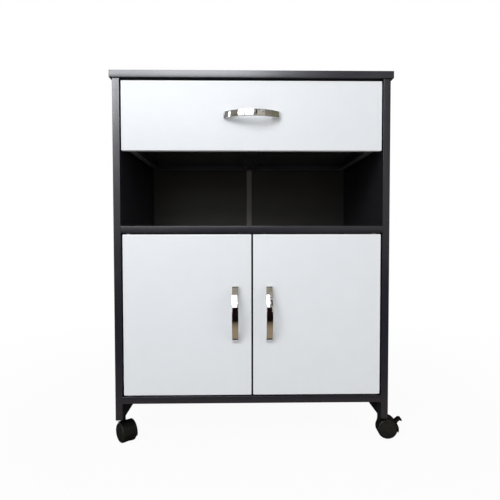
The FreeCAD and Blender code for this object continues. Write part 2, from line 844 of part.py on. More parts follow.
def make_cage(side, start, level, half_turn):
    """A thin channel between the members with a notch round each ball."""
    body = new_body("BallCage")
    sketch = new_sketch(body, "XZ_Plane")
    web = slide_steel + cage_steel
    tip = ball_x + 1.25
    half = ball_z + cage_steel / 2
    outline(sketch, (web, -half), [
        (tip, -half), (tip, cage_steel - half), (web + cage_steel, cage_steel - half),
        (web + cage_steel, half - cage_steel), (tip, half - cage_steel), (tip, half), (web, half),
    ])
    feature(body, "Pad", sketch, cage_length, side="One side", reverse=side < 0)
    notches = new_sketch(body, "XY_Plane")
    first = (cage_length - 3 * slide_ball_pitch) / 2
    for step in range(4):
        ring(notches, (ball_x, -side * (first + step * slide_ball_pitch)), ball_room)
    feature(body, "Pocket", notches)
    return place_slide(body, side, start, level, half_turn)


# ---------------------------------------------------------------------------------------------
# Doors: pivot pins top and bottom, handle, strike plate, and the magnetic catch between them
# ---------------------------------------------------------------------------------------------

def make_pivots():
    """Nylon bushes in the shelf and the bottom board, and the doors' steel pins that turn in them."""
    bush = new_body("Bush")
    bore = pivot_radius + running_play
    turned(bush, "XZ_Plane", "V_Axis", (bore, -bush_flange), [
        (bush_flange_radius, -bush_flange), (bush_flange_radius, 0), (bush_radius, 0),
        (bush_radius, bush_depth), (bore, bush_depth),
    ])
    pin = new_body("PivotPin")
    tip = door_end_gap + pivot_reach
    turned(pin, "XZ_Plane", "V_Axis", (0, -pivot_body_length), [
        (pivot_body_radius, -pivot_body_length), (pivot_body_radius, 0), (pivot_collar_radius, 0),
        (pivot_collar_radius, pivot_collar), (pivot_radius, pivot_collar), (pivot_radius, tip - 1),
        (pivot_radius - 1, tip), (0, tip),
    ])
    over, under = TURNS["+Z"], TURNS["-Z"]
    bushes = []
    for name, side in (("left", -1), ("right", 1)):
        bushes.append(copy_of(bush, (side * pivot_x, pivot_y, shelf_bottom), over))
        bushes.append(copy_of(bush, (side * pivot_x, pivot_y, floor_top), under))
        node(f"door_{name}_pivot_pins", group([
            copy_of(pin, (side * pivot_x, pivot_y, door_bottom + door_height), over),
            copy_of(pin, (side * pivot_x, pivot_y, door_bottom), under),
        ]))
    node("pivot_bushes", group(bushes))


def make_door(name, side):
    corner_x = door_centre_gap / 2 if side > 0 else -door_outer
    handle_x = side * (door_centre_gap / 2 + door_handle_inset)
    handle_z = door_bottom + door_handle_height
    panel = block((corner_x, front, door_bottom), (door_width, board, door_height))
    screw_places = [(handle_x, front + board, handle_z + end * handle_hole_spacing / 2) for end in (-1, 1)]
    pin_room = pivot_body_radius + fitting_play
    pin_depth = pivot_body_length + fitting_play
    pin_holes = [
        rod(pin_room, pin_depth, (side * pivot_x, pivot_y, door_bottom + door_height), "-Z"),
        rod(pin_room, pin_depth, (side * pivot_x, pivot_y, door_bottom)),
    ]
    node(f"door_{name}", cut(panel, pin_holes + screw_holes(screw_places)))
    upright = toward((0, 0, 1), (0, 1, 0), (-1, 0, 0))
    make_handle(f"door_{name}_handle", (handle_x, front, handle_z), upright)
    make_handle_screws(f"door_{name}_handle_screws", screw_places)
    plate_x = side * strike_offset - strike_width / 2
    plate_z = shelf_bottom - catch_height / 2 - strike_height / 2
    node(f"door_{name}_strike_plate", block(
        (plate_x, front + board, plate_z), (strike_width, strike_steel, strike_height)
    ))


def make_catch():
    """A double magnetic catch under the shelf: a flanged housing with two pairs of pole plates."""
    start = front + board + strike_steel + catch_gap
    ear = 8
    housing = block(
        (-(catch_width / 2), start, shelf_bottom - catch_height), (catch_width, catch_depth - 4, catch_height)
    )
    flange = block(
        (-(catch_width / 2) - ear, start + catch_depth - 10, shelf_bottom - 2), (catch_width + 2 * ear, 10, 2)
    )
    screw_y = start + catch_depth - 5
    holes = [rod(1.7, 3, (side * (catch_width + ear) / 2, screw_y, shelf_bottom - 2.5)) for side in (-1, 1)]
    recesses = []
    for side in (-1, 1):
        for level in (0.18, 0.62):
            low = shelf_bottom - catch_height + level * catch_height
            recesses.append(block(
                (side * strike_offset - 7, start - 1, low), (14, 2, catch_height * 0.2)
            ))
    node("magnetic_catch", cut(fuse([housing, flange]), recesses + holes))


# ---------------------------------------------------------------------------------------------
# Twin-wheel casters.  Each is drawn about its own stem: +x is the trailing way, +z up from the
# floor, and the axle lies along y at x = trail.
# ---------------------------------------------------------------------------------------------

hub = (trail, wheel_radius)
neck_top = caster_height - socket_flange - swivel_gap
wheel_inner = web_width / 2 + wheel_side_gap
fender_inside = wheel_radius + fender_gap
fender_outside = fender_inside + fender_wall
lever_pivot = polar(hub, lever_pivot_radius, lever_pivot_angle)


def make_stems():
    """Grip-neck stems pressed into sleeves in the side panels' lower edges."""
    sleeve_inner = stem_radius + fitting_play
    sleeve = new_body("Socket")
    turned(sleeve, "XZ_Plane", "V_Axis", (sleeve_inner, -socket_flange), [
        (socket_flange_radius, -socket_flange), (socket_flange_radius, 0), (socket_radius, 0),
        (socket_radius, stem_in_side + 2), (sleeve_inner, stem_in_side + 2),
    ])
    stem = new_body("Stem")
    below = stem_base - caster_height
    groove = stem_radius - 0.8
    turned(stem, "XZ_Plane", "V_Axis", (0, below), [
        (stem_radius - 1, below), (stem_radius, below + 1), (stem_radius, below + 5), (groove, below + 5),
        (groove, below + 7), (stem_radius, below + 7), (stem_radius, stem_in_side - 6),
        (groove, stem_in_side - 6), (groove, stem_in_side - 3), (stem_radius, stem_in_side - 3),
        (stem_radius, stem_in_side - 1), (stem_radius - 1, stem_in_side), (0, stem_in_side),
    ])
    corners = [(side * stem_x, y, caster_height) for side in (-1, 1) for y in (front_stem_y, rear_stem_y)]
    node("caster_sockets", group([copy_of(sleeve, base) for base in corners]))
    node("caster_stems", group([copy_of(stem, base) for base in corners]))


def make_hood(label, stem, angle, braked):
    """The moulded hood: a fender over both treads, the web between the wheels and the neck round the stem."""
    body = new_body("Hood")
    web = new_sketch(body, "XZ_Plane")
    outline(web, polar(hub, fender_inside, hood_start), [
        polar(hub, fender_outside, hood_start), (polar(hub, fender_outside, hood_end), hub, 1),
        (0.4 - neck_radius, stem_base + 6), (0.4 - neck_radius, stem_base - 3), polar(hub, web_reach, 182),
        (polar(hub, web_reach, hood_start - 6), hub, 1),
    ])
    feature(body, "Pad", web, web_width)
    neck = lifted(new_sketch(body, "XY_Plane"), stem_base - 3)
    ring(neck, (0, 0), neck_radius)
    feature(body, "Pad", neck, neck_top - stem_base + 3, side="One side")
    wheel_rooms(body)
    fender = new_sketch(body, "XZ_Plane")
    outline(fender, polar(hub, fender_inside, hood_end), [
        (polar(hub, fender_inside, hood_start), hub, -1), polar(hub, fender_outside, hood_start),
        (polar(hub, fender_outside, hood_end), hub, 1),
    ])
    feature(body, "Pad", fender, fender_width)
    bore = lifted(new_sketch(body, "XY_Plane"), stem_base - 0.5)
    ring(bore, (0, 0), stem_radius + running_play)
    feature(body, "Pocket", bore, neck_top - stem_base + 5, side="One side", reverse=True)
    across = new_sketch(body, "XZ_Plane")
    ring(across, hub, axle_radius + 0.02)
    if braked:
        ring(across, lever_pivot, lever_pin_radius + running_play)
    feature(body, "Pocket", across)
    if braked:
        cut_lever_room(body)
    node(label, place_swivelled(body, (stem[0], stem[1], 0), angle))


def wheel_rooms(body):
    """Turn the wheels' spaces out of the web and neck on both sides."""
    rooms = lifted(new_sketch(body, "XY_Plane"), wheel_radius)
    for side in (-1, 1):
        inner, outer = side * web_width / 2, side * (web_width / 2 + 8)
        outline(rooms, (trail, inner), [
            (trail + fender_inside, inner), (trail + fender_inside, outer), (trail, outer),
        ])
    line = Part.LineSegment(FreeCAD.Vector(trail.number, -30, 0), FreeCAD.Vector(trail.number, 30, 0))
    axle_line = rooms.addGeometry(line, True)
    for end, reach in ((1, -30), (2, 30)):
        fix(rooms, "DistanceX", axle_line, end, trail)
        fix(rooms, "DistanceY", axle_line, end, reach)
    groove = body.newObject("PartDesign::Groove", "Groove")
    groove.Profile = rooms
    groove.ReferenceAxis = (rooms, ["Axis0"])
    groove.Angle = 360
    body.Tip = groove


def cut_lever_room(body):
    """A window in the fender for the lever's shoe, and a narrower slot in the web for its lug."""
    window = new_sketch(body, "XZ_Plane")
    low, high = shoe_start - 10, shoe_end + 4
    outline(window, polar(hub, wheel_radius, high), [
        (polar(hub, wheel_radius, low), hub, -1), polar(hub, fender_outside + 8, low),
        polar(hub, fender_outside + 8, high),
    ])
    feature(body, "Pocket", window, shoe_width + 2 * lever_slot_play)
    slot = new_sketch(body, "XZ_Plane")
    outline(slot, polar(hub, 11.5, 8), [
        polar(hub, wheel_radius + 3, low), polar(hub, wheel_radius + 3, high), polar(hub, 11.5, 64),
    ])
    feature(body, "Pocket", slot, lever_lug_width + 2 * lever_slot_play)


def make_axle(label, stem, angle):
    body = new_body("Axle")
    half = caster_width / 2 - 4
    turned(body, "XY_Plane", "V_Axis", (0, -half), [
        (axle_radius - 0.6, -half), (axle_radius, 0.6 - half), (axle_radius, half - 0.6),
        (axle_radius - 0.6, half), (0, half),
    ])
    node(label, place_swivelled(body, axle_base(stem, angle), angle))


def axle_base(stem, angle):
    return stem[0] + trail * cosine(angle), stem[1] + trail * sine(angle), wheel_radius


def make_wheel(label, stem, angle, side):
    """A moulded wheel: open inside round its hub, with a rounded tread and a domed cap outside."""
    body = new_body("Wheel")
    face = caster_width / 2
    bore = axle_radius + 0.06
    shoulder = 3.5
    rim = wheel_radius - shoulder
    groove = 0.8
    cap = rim - 1.3
    dome = 0.5
    bow = (cap * cap + dome * dome) / (2 * dome)

    def at(radius, width):
        return radius, side * width

    turned(body, "XY_Plane", "V_Axis", at(0, face - 2.8), [
        at(bore, face - 2.8), at(bore, wheel_inner), at(bore + 3.5, wheel_inner), at(bore + 3.5, face - 5),
        at(rim - 0.5, face - 5), at(rim - 0.5, wheel_inner), at(wheel_radius - 1, wheel_inner),
        at(wheel_radius, wheel_inner + 1), at(wheel_radius, face - dome - shoulder),
        (at(rim, face - dome), at(rim, face - dome - shoulder), side), at(rim - 0.3, face - dome - groove),
        at(cap + 0.3, face - dome - groove), at(cap, face - dome), (at(0, face), at(0, face - bow), side),
    ])
    node(label, place_swivelled(body, axle_base(stem, angle), angle))


def from_hub(x, z):
    """A point in the caster's own upright plane, measured from its axle."""
    return trail + x, wheel_radius + z


def make_lever(label, stem, angle):
    """The brake lever: a hooked tab outside the fender, a shoe in its window and a lug hung in the web."""
    body = new_body("BrakeLever")
    shoe = new_sketch(body, "XZ_Plane")
    outline(shoe, polar(hub, fender_inside, shoe_end), [
        (polar(hub, fender_inside, shoe_start), hub, -1), polar(hub, fender_outside, shoe_start),
        (polar(hub, fender_outside, shoe_end), hub, 1),
    ])
    feature(body, "Pad", shoe, shoe_width)
    lug = new_sketch(body, "XZ_Plane")
    boss = 3.4
    outline(lug, polar(hub, fender_outside - 0.4, shoe_start + 1), [
        polar(hub, fender_outside - 0.4, shoe_end - 1),
        polar(lever_pivot, boss, 122), (polar(lever_pivot, boss, 216), lever_pivot, 1),
        (polar(lever_pivot, boss, 310), lever_pivot, 1),
    ])
    feature(body, "Pad", lug, lever_lug_width)
    tab = new_sketch(body, "XZ_Plane")
    outline(tab, from_hub(21.9, 9.9), [
        from_hub(23.1, 12.4), from_hub(24.9, 14.8), from_hub(27.3, 17.2), from_hub(29.6, 16.4),
        from_hub(33.4, 15.7), from_hub(32.3, 19.0), (from_hub(28.2, 23.0), from_hub(28.0, 18.7), 1),
        from_hub(24.4, 22.4), from_hub(21.4, 19.9), from_hub(18.2, 17.2),
        polar(hub, fender_outside - 0.4, shoe_end - 2), polar(hub, fender_outside - 0.4, shoe_start),
    ])
    feature(body, "Pad", tab, lever_width)
    pin = new_sketch(body, "XZ_Plane")
    ring(pin, lever_pivot, lever_pin_radius)
    feature(body, "Pad", pin, web_width - 0.2)
    node(label, place_swivelled(body, (stem[0], stem[1], 0), angle))


def make_caster(name, stem, angle, braked):
    make_hood(f"caster_{name}_hood", stem, angle, braked)
    make_axle(f"caster_{name}_axle", stem, angle)
    make_wheel(f"caster_{name}_wheel_left", stem, angle, 1)
    make_wheel(f"caster_{name}_wheel_right", stem, angle, -1)
    if braked:
        make_lever(f"caster_{name}_brake_lever", stem, angle)


def make_casters():
    make_stems()
    make_caster("front_left", (-stem_x, front_stem_y), swivel_front_left, False)
    make_caster("front_right", (stem_x, front_stem_y), swivel_front_right, True)
    make_caster("rear_left", (-stem_x, rear_stem_y), swivel_front_right + 180, True)
    make_caster("rear_right", (stem_x, rear_stem_y), swivel_rear_right, False)


# ---------------------------------------------------------------------------------------------
# Build, check and write
# ---------------------------------------------------------------------------------------------

def check_and_export():
    doc.recompute()
    failed = [item.Name for item in doc.Objects if "Invalid" in item.State or "Error" in item.State]
    if failed:
        raise RuntimeError(f"features that did not build: {failed}")
    os.makedirs("parts", exist_ok=True)
    for label, item in nodes.items():
        shape = item.Shape
        if shape.isNull() or not shape.isValid():
            raise RuntimeError(f"{label} has no valid shape")
    for label, item in nodes.items():
        item.Shape.exportStep(f"parts/{label}.step")
    print(f"{len(nodes)} nodes, {sum(len(item.Shape.Solids) for item in nodes.values())} solids")


make_boards()
make_back()
make_loose_shelf()
make_drawer_box()
make_slides()
make_pivots()
make_door("left", -1)
make_door("right", 1)
make_catch()
make_casters()
check_and_export()
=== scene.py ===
import math

import bmesh
import bpy
import numpy as np
from mathutils import Matrix, Vector


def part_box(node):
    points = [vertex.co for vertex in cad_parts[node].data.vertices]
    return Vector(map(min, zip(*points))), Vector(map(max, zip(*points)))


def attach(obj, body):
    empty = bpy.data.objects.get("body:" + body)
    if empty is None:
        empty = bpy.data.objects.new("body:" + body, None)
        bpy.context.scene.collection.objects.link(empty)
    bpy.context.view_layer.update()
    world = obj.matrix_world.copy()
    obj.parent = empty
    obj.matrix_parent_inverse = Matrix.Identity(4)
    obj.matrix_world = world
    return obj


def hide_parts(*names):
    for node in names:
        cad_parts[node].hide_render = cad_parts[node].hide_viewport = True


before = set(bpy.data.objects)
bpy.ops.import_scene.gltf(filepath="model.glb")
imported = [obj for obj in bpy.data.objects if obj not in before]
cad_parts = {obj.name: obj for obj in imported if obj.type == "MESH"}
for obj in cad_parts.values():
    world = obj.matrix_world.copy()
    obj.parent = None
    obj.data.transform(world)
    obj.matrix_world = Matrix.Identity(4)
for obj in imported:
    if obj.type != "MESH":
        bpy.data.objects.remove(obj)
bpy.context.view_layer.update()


# ---------------------------------------------------------------------------------------------
# Carcass boards.  15 mm chipboard pressed with graphite-grey melamine paper.  The paper's pearl
# emboss leaves a satin face, and the boards are drawn together by cam locks and dowels.
# ---------------------------------------------------------------------------------------------

def paint(code):
    """A linear colour from an sRGB hex code: c / 12.92 when dark, else
    ((c + 0.055) / 1.055) ** 2.4."""
    channels = [int(code[start:start + 2], 16) / 255 for start in (1, 3, 5)]
    return [c / 12.92 if c <= 0.04045 else ((c + 0.055) / 1.055) ** 2.4 for c in channels] + [1.0]


def add(material, kind, settings=None, links=None):
    """Add one node; settings go to its properties or input sockets, links join its inputs to
    outputs."""
    node = material.node_tree.nodes.new(kind)
    for key, value in (settings or {}).items():
        if isinstance(key, str) and hasattr(node, key):
            setattr(node, key, value)
        else:
            node.inputs[key].default_value = value
    for key, source in (links or {}).items():
        material.node_tree.links.new(source, node.inputs[key])
    return node


def finish_named(name, settings):
    """A material, and the object coordinates that its patterns are drawn in.  Uniform values go
    straight on the sockets of its Principled shader; one that nodes vary is near its mean."""
    material = bpy.data.materials.new(name)
    material.use_nodes = True
    shader = material.node_tree.nodes["Principled BSDF"]
    for key, value in settings.items():
        shader.inputs[key].default_value = value
    return material, add(material, "ShaderNodeTexCoord").outputs["Object"]


def drive(material, links):
    """Join outputs to sockets of the material's Principled shader."""
    shader = material.node_tree.nodes["Principled BSDF"]
    for key, source in links.items():
        material.node_tree.links.new(source, shader.inputs[key])


def dress(material, names):
    """Give CAD nodes this material in every slot they have."""
    for name in names:
        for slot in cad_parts[name].material_slots:
            slot.material = material


# A colour mix goes by socket numbers, because its sockets of each type share their names.
share, tone_a, tone_b, mixed = 0, 6, 7, 2

# Melamine resin over printed paper, pressed on a pearl plate: a satin grey with fine soft pits.
graphite, place = finish_named("graphite_melamine", {
    "Base Color": paint("#23232b"), "Roughness": 0.4, "IOR": 1.5,
})
# The paper's print varies in patches of about 120 mm.
cloud = add(graphite, "ShaderNodeTexNoise", {"Scale": 8.0, "Detail": 3.0}, {"Vector": place})
# Pearl pits are about 0.4 mm on the board; they are drawn at 1.2 mm so that they show.
pearl = add(graphite, "ShaderNodeTexVoronoi", {"Scale": 830.0}, {"Vector": place})
# The print's flecks are drawn at 1.6 mm.
fleck = add(graphite, "ShaderNodeTexNoise", {"Scale": 620.0, "Detail": 2.0}, {"Vector": place})
printed = add(graphite, "ShaderNodeMix",
              {"data_type": "RGBA", tone_a: paint("#1f1f27"), tone_b: paint("#27272f")},
              {share: cloud.outputs["Fac"]})
specks = add(graphite, "ShaderNodeMapRange",
             {"From Min": 0.35, "From Max": 0.75, "To Min": 0.0, "To Max": 0.35},
             {"Value": fleck.outputs["Fac"]})
tone = add(graphite, "ShaderNodeMix", {"data_type": "RGBA", tone_b: paint("#35353a")},
           {share: specks.outputs["Result"], tone_a: printed.outputs[mixed]})
sheen = add(graphite, "ShaderNodeMapRange",
            {"From Min": 0.2, "From Max": 0.8, "To Min": 0.34, "To Max": 0.46},
            {"Value": cloud.outputs["Fac"]})
pits = add(graphite, "ShaderNodeBump", {"Strength": 0.25, "Distance": 0.00006},
           {"Height": pearl.outputs["Distance"]})
drive(graphite, {
    "Base Color": tone.outputs[mixed],
    "Roughness": sheen.outputs["Result"],
    "Normal": pits.outputs["Normal"],
})
dress(graphite, [
    "top_panel", "side_panel_left", "side_panel_right", "middle_shelf", "bottom_panel",
    "loose_shelf", "drawer_side_left", "drawer_side_right", "drawer_back", "drawer_bottom_brace",
])


# ---------------------------------------------------------------------------------------------
# Edge bands of the grey boards.  0.6 mm graphite ABS tape, hot-glued on the cut edges by an edge
# bander, trimmed with a small radius and buffed smoother than the faces.
# ---------------------------------------------------------------------------------------------

# ABS tape, calendered and then buffed: the boards' grey in a smoother satin, finely lined.
graphite_band, place = finish_named("graphite_abs_band", {
    "Base Color": paint("#22222b"), "Roughness": 0.25, "IOR": 1.56,
})
# Buffing lines are some 0.2 mm apart; they are drawn at about 1 mm so that they show.
buffing = add(graphite_band, "ShaderNodeTexNoise", {"Scale": 900.0, "Detail": 2.0},
              {"Vector": place})
# Handling dulls the tape in patches of about 70 mm.
wear = add(graphite_band, "ShaderNodeTexNoise", {"Scale": 14.0, "Detail": 4.0}, {"Vector": place})
tone = add(graphite_band, "ShaderNodeMix",
           {"data_type": "RGBA", tone_a: paint("#1e1e27"), tone_b: paint("#26262f")},
           {share: wear.outputs["Fac"]})
gloss = add(graphite_band, "ShaderNodeMapRange", {"To Min": 0.2, "To Max": 0.3},
            {"Value": wear.outputs["Fac"]})
lines = add(graphite_band, "ShaderNodeBump", {"Strength": 0.12, "Distance": 0.00004},
            {"Height": buffing.outputs["Fac"]})
drive(graphite_band, {
    "Base Color": tone.outputs[mixed],
    "Roughness": gloss.outputs["Result"],
    "Normal": lines.outputs["Normal"],
})


def made(name, points, faces, body, materials, face_material=None):
    """A closed mesh from arrays, its faces turned outwards, smooth where they meet at less than
    smooth_below.  face_material gives each face's place in the list of materials."""
    smooth_below = math.radians(35)
    mesh = bpy.data.meshes.new(name)
    mesh.from_pydata(points.tolist(), [], faces)
    work = bmesh.new()
    work.from_mesh(mesh)
    bmesh.ops.recalc_face_normals(work, faces=work.faces[:])
    work.to_mesh(mesh)
    work.free()
    for material in materials:
        mesh.materials.append(material)
    if face_material is not None:
        mesh.polygons.foreach_set("material_index", np.asarray(face_material, np.int32))
    mesh.shade_smooth()
    mesh.set_sharp_from_angle(angle=smooth_below)
    piece = bpy.data.objects.new(name, mesh)
    bpy.context.scene.collection.objects.link(piece)
    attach(piece, body)
    return piece


def woven(shape, closed):
    """Quads over a grid of points, shape being its rows and the points round each row.  A quad
    joins point i of a row to point i + 1 and to the same two points of the next row."""
    index = np.arange(shape[0] * shape[1]).reshape(shape)
    after = np.roll(index, -1, axis=0) if closed else index[1:]
    before = index if closed else index[:-1]
    quads = np.stack([before, np.roll(before, -1, axis=1), np.roll(after, -1, axis=1), after],
                     axis=-1)
    return quads.reshape(-1, 4).tolist(), index


def carried(name, profile, centres, across, outward, body, material, closed=False):
    """A closed profile carried along a path: point = centre + a * across + b * outward for each
    profile pair (a, b).  An open path is filled at both ends."""
    centres, across, outward = (np.asarray(part, float) for part in (centres, across, outward))
    a, b = profile[None, :, :1], profile[None, :, 1:]
    points = centres[:, None] + a * across[:, None] + b * outward[:, None]
    faces, index = woven(points.shape[:2], closed)
    if not closed:
        faces += [index[0].tolist(), index[-1].tolist()]
    return made(name, points.reshape(-1, 3), faces, body, [material])


def rounded_rectangle(width, height, radius, steps=4):
    """Anticlockwise corner arcs, a quarter turn each: (x, y) = corner centre
    + radius * (cos t, sin t)."""
    turn = np.linspace(0, math.pi / 2, steps + 1)
    corners = []
    for quarter, (sx, sy) in enumerate(((1, 1), (-1, 1), (-1, -1), (1, -1))):
        angle = turn + quarter * math.pi / 2
        x = sx * (width / 2 - radius) + radius * np.cos(angle)
        y = sy * (height / 2 - radius) + radius * np.sin(angle)
        corners.append(np.stack([x, y], axis=-1))
    return np.concatenate(corners)


mm = 0.001
band_proud = 0.6 * mm
band_sunk = 0.2 * mm
band_round = 0.9


def band_profile(board_thickness):
    """The tape's section: as wide as the board, its outer corners rounded over band_round of its
    thickness, its glued side sunk in the board."""
    section = rounded_rectangle(board_thickness, 2 * band_proud, band_proud * band_round)
    section[:, 1] = np.maximum(section[:, 1], -band_sunk)
    return section


def straight_band(name, start, end, across, outward, thickness, body, material):
    """One strip of tape along a straight edge."""
    carried(name, band_profile(thickness), [start, end], [across] * 2, [outward] * 2, body,
            material)


def drawer_bands(kind, facing, material):
    """Strips along the edges of the drawer's sides and back that face up (1) or down (-1)."""
    for board_name in ("drawer_side_left", "drawer_side_right"):
        low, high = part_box(board_name)
        x = (low.x + high.x) / 2
        z = high.z if facing > 0 else low.z
        straight_band(f"{kind}_{board_name}", (x, low.y, z), (x, high.y, z), (1, 0, 0),
                      (0, 0, facing), high.x - low.x, "drawer", material)
    low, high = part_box("drawer_back")
    y = (low.y + high.y) / 2
    z = high.z if facing > 0 else low.z
    straight_band(f"{kind}_drawer_back", (low.x, y, z), (high.x, y, z), (0, 1, 0),
                  (0, 0, facing), high.y - low.y, "drawer", material)


low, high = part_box("side_panel_left")
for side, label in ((-1, "left"), (1, "right")):
    x = side * abs(low.x + high.x) / 2
    for y, facing, edge in ((low.y, -1, "front"), (high.y, 1, "rear")):
        straight_band(f"band_side_{label}_{edge}", (x, y, low.z), (x, y, high.z), (1, 0, 0),
                      (0, facing, 0), high.x - low.x, "carcass", graphite_band)
for board_name in ("middle_shelf", "bottom_panel", "loose_shelf"):
    low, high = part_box(board_name)
    z = (low.z + high.z) / 2
    straight_band(f"band_{board_name}", (low.x, low.y, z), (high.x, low.y, z), (0, 0, 1),
                  (0, -1, 0), high.z - low.z, "carcass", graphite_band)
# The top's tape goes round all four edges in one length.
low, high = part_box("top_panel")
z = (low.z + high.z) / 2
corners = [(low.x, low.y, z), (high.x, low.y, z), (high.x, high.y, z), (low.x, high.y, z)]
mitres = [(-1, -1, 0), (1, -1, 0), (1, 1, 0), (-1, 1, 0)]
carried("band_top_panel", band_profile(high.z - low.z), corners, [(0, 0, 1)] * 4, mitres,
        "carcass", graphite_band, closed=True)
drawer_bands("band", 1, graphite_band)


# ---------------------------------------------------------------------------------------------
# Lower edges of the drawer box.  The sides and the back have a thin grey paper tape there, ironed
# on along the edges that are seen from the open bay.
# ---------------------------------------------------------------------------------------------

# Resin-soaked paper tape: a flat mid grey, duller and lighter than the boards.
paper_tape, place = finish_named("grey_paper_tape", {
    "Base Color": paint("#5a5a58"), "Roughness": 0.6, "IOR": 1.5,
})
# Paper fibres are far finer than the 1.4 mm they are drawn at so that they show.
fibre = add(paper_tape, "ShaderNodeTexNoise", {"Scale": 700.0, "Detail": 3.0}, {"Vector": place})
tone = add(paper_tape, "ShaderNodeMix",
           {"data_type": "RGBA", tone_a: paint("#535351"), tone_b: paint("#626260")},
           {share: fibre.outputs["Fac"]})
relief = add(paper_tape, "ShaderNodeBump", {"Strength": 0.15, "Distance": 0.00005},
             {"Height": fibre.outputs["Fac"]})
drive(paper_tape, {"Base Color": tone.outputs[mixed], "Normal": relief.outputs["Normal"]})
drawer_bands("tape", -1, paper_tape)


# ---------------------------------------------------------------------------------------------
# White fronts.  The drawer front and both doors: 15 mm chipboard with a smooth white laminate, and
# 1 mm white ABS tape round all four edges, its corners rounded by the trimmer.
# ---------------------------------------------------------------------------------------------

# High-pressure laminate, pressed smooth: clean cold white with a soft gloss and a slow ripple.
white_laminate, place = finish_named("white_laminate", {
    "Base Color": paint("#e6e9eb"), "Roughness": 0.52, "IOR": 1.5, "Specular IOR Level": 0.36,
})
# The press leaves a ripple some 4 mm long and washes of about 25 mm.
ripple = add(white_laminate, "ShaderNodeTexNoise", {"Scale": 260.0, "Detail": 2.0},
             {"Vector": place})
wash = add(white_laminate, "ShaderNodeTexNoise", {"Scale": 40.0, "Detail": 5.0},
           {"Vector": place})
tone = add(white_laminate, "ShaderNodeMix",
           {"data_type": "RGBA", tone_a: paint("#e5e8eb"), tone_b: paint("#e9ebee")},
           {share: wash.outputs["Fac"]})
gloss = add(white_laminate, "ShaderNodeMapRange", {"To Min": 0.49, "To Max": 0.55},
            {"Value": wash.outputs["Fac"]})
peel = add(white_laminate, "ShaderNodeBump", {"Strength": 0.1, "Distance": 0.00005},
           {"Height": ripple.outputs["Fac"]})
drive(white_laminate, {
    "Base Color": tone.outputs[mixed],
    "Roughness": gloss.outputs["Result"],
    "Normal": peel.outputs["Normal"],
})

# White ABS tape, buffed glossier than the laminate. Its base is painted whiter than the laminate, a
# painted highlight along the rounded edges.
highlight_white_band, place = finish_named("white_abs_band_painted_highlight", {
    "Base Color": paint("#f6f8fa"), "Roughness": 0.2, "IOR": 1.53,
})
# Buffing varies over about 30 mm.
wash = add(highlight_white_band, "ShaderNodeTexNoise", {"Scale": 30.0, "Detail": 3.0}, {"Vector": place})
# Both tones are painted whiter than the laminate, for the painted edge highlight.
tone = add(highlight_white_band, "ShaderNodeMix",
           {"data_type": "RGBA", tone_a: paint("#f4f6f8"), tone_b: paint("#fafbfc")},
           {share: wash.outputs["Fac"]})
gloss = add(highlight_white_band, "ShaderNodeMapRange", {"To Min": 0.16, "To Max": 0.28},
            {"Value": wash.outputs["Fac"]})
drive(highlight_white_band, {"Base Color": tone.outputs[mixed], "Roughness": gloss.outputs["Result"]})


def plate(name, outline, depth, edge, axes, body, materials, steps=5):
    """A flat outline given a depth with rounded rims: each row of points is the outline moved in
    along its mitred normals by edge * (1 - sin t) and lifted to depth / 2 - edge * (1 - cos t),
    mirrored for the far rim.  axes holds the origin and the directions of the outline's two axes
    and of its depth.  The flat faces have the first material, the rims the last."""
    before = outline - np.roll(outline, 1, axis=0)
    after = np.roll(outline, -1, axis=0) - outline
    normals = [np.stack([side[:, 1], -side[:, 0]], axis=-1)
               / np.linalg.norm(side, axis=1)[:, None] for side in (before, after)]
    mitre = (normals[0] + normals[1]) / (1 + (normals[0] * normals[1]).sum(axis=1))[:, None]
    turn = np.linspace(0, math.pi / 2, steps + 1)
    inset = edge * (1 - np.sin(turn))
    lift = depth / 2 - edge * (1 - np.cos(turn))
    inset = np.concatenate([inset, inset[::-1]])[:, None, None]
    lift = np.concatenate([lift, -lift[::-1]])[:, None, None]
    flat = outline[None] - inset * mitre[None]
    origin, first, second, third = (np.asarray(part, float) for part in axes)
    points = origin + flat[..., :1] * first + flat[..., 1:] * second + lift * third
    faces, index = woven(points.shape[:2], closed=False)
    chosen = [len(materials) - 1] * len(faces) + [0, 0]
    faces += [index[0].tolist(), index[-1].tolist()]
    return made(name, points.reshape(-1, 3), faces, body, materials, chosen)


front_corner = 1.6 * mm
front_edge = 1.4 * mm
for node_name, body in (
    ("drawer_front", "drawer"), ("door_left", "left_door"), ("door_right", "right_door"),
):
    low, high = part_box(node_name)
    outline = rounded_rectangle(high.x - low.x, high.z - low.z, front_corner, steps=5)
    axes = ((low + high) / 2, (1, 0, 0), (0, 0, 1), (0, -1, 0))
    front_board = plate(f"{node_name}_board", outline, high.y - low.y, front_edge, axes, body,
                        [white_laminate, highlight_white_band])
    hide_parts(node_name)


# ---------------------------------------------------------------------------------------------
# Bow handles.  Die-cast zinc, polished and chrome plated: two solid feet under one bent strap, each
# held by two machine screws from behind the front.
# ---------------------------------------------------------------------------------------------

# Bright chrome over polished zinc: a mirror with the slow waves of hand polishing.
chrome, place = finish_named("bright_chrome", {
    "Base Color": paint("#e4e4e6"), "Metallic": 1.0, "Roughness": 0.04,
})
# The waves are about 14 mm long.
waves = add(chrome, "ShaderNodeTexNoise", {"Scale": 70.0, "Detail": 1.0}, {"Vector": place})
# Polishing scratches are finer than 0.1 mm; they are drawn about 0.7 mm long so that they show.
scratch = add(chrome, "ShaderNodeTexNoise", {"Scale": 1400.0, "Detail": 2.0}, {"Vector": place})
haze = add(chrome, "ShaderNodeMapRange",
           {"From Min": 0.4, "From Max": 0.8, "To Min": 0.02, "To Max": 0.06},
           {"Value": scratch.outputs["Fac"]})
polish = add(chrome, "ShaderNodeBump", {"Strength": 0.12, "Distance": 0.0006},
             {"Height": waves.outputs["Fac"]})
drive(chrome, {"Roughness": haze.outputs["Result"], "Normal": polish.outputs["Normal"]})


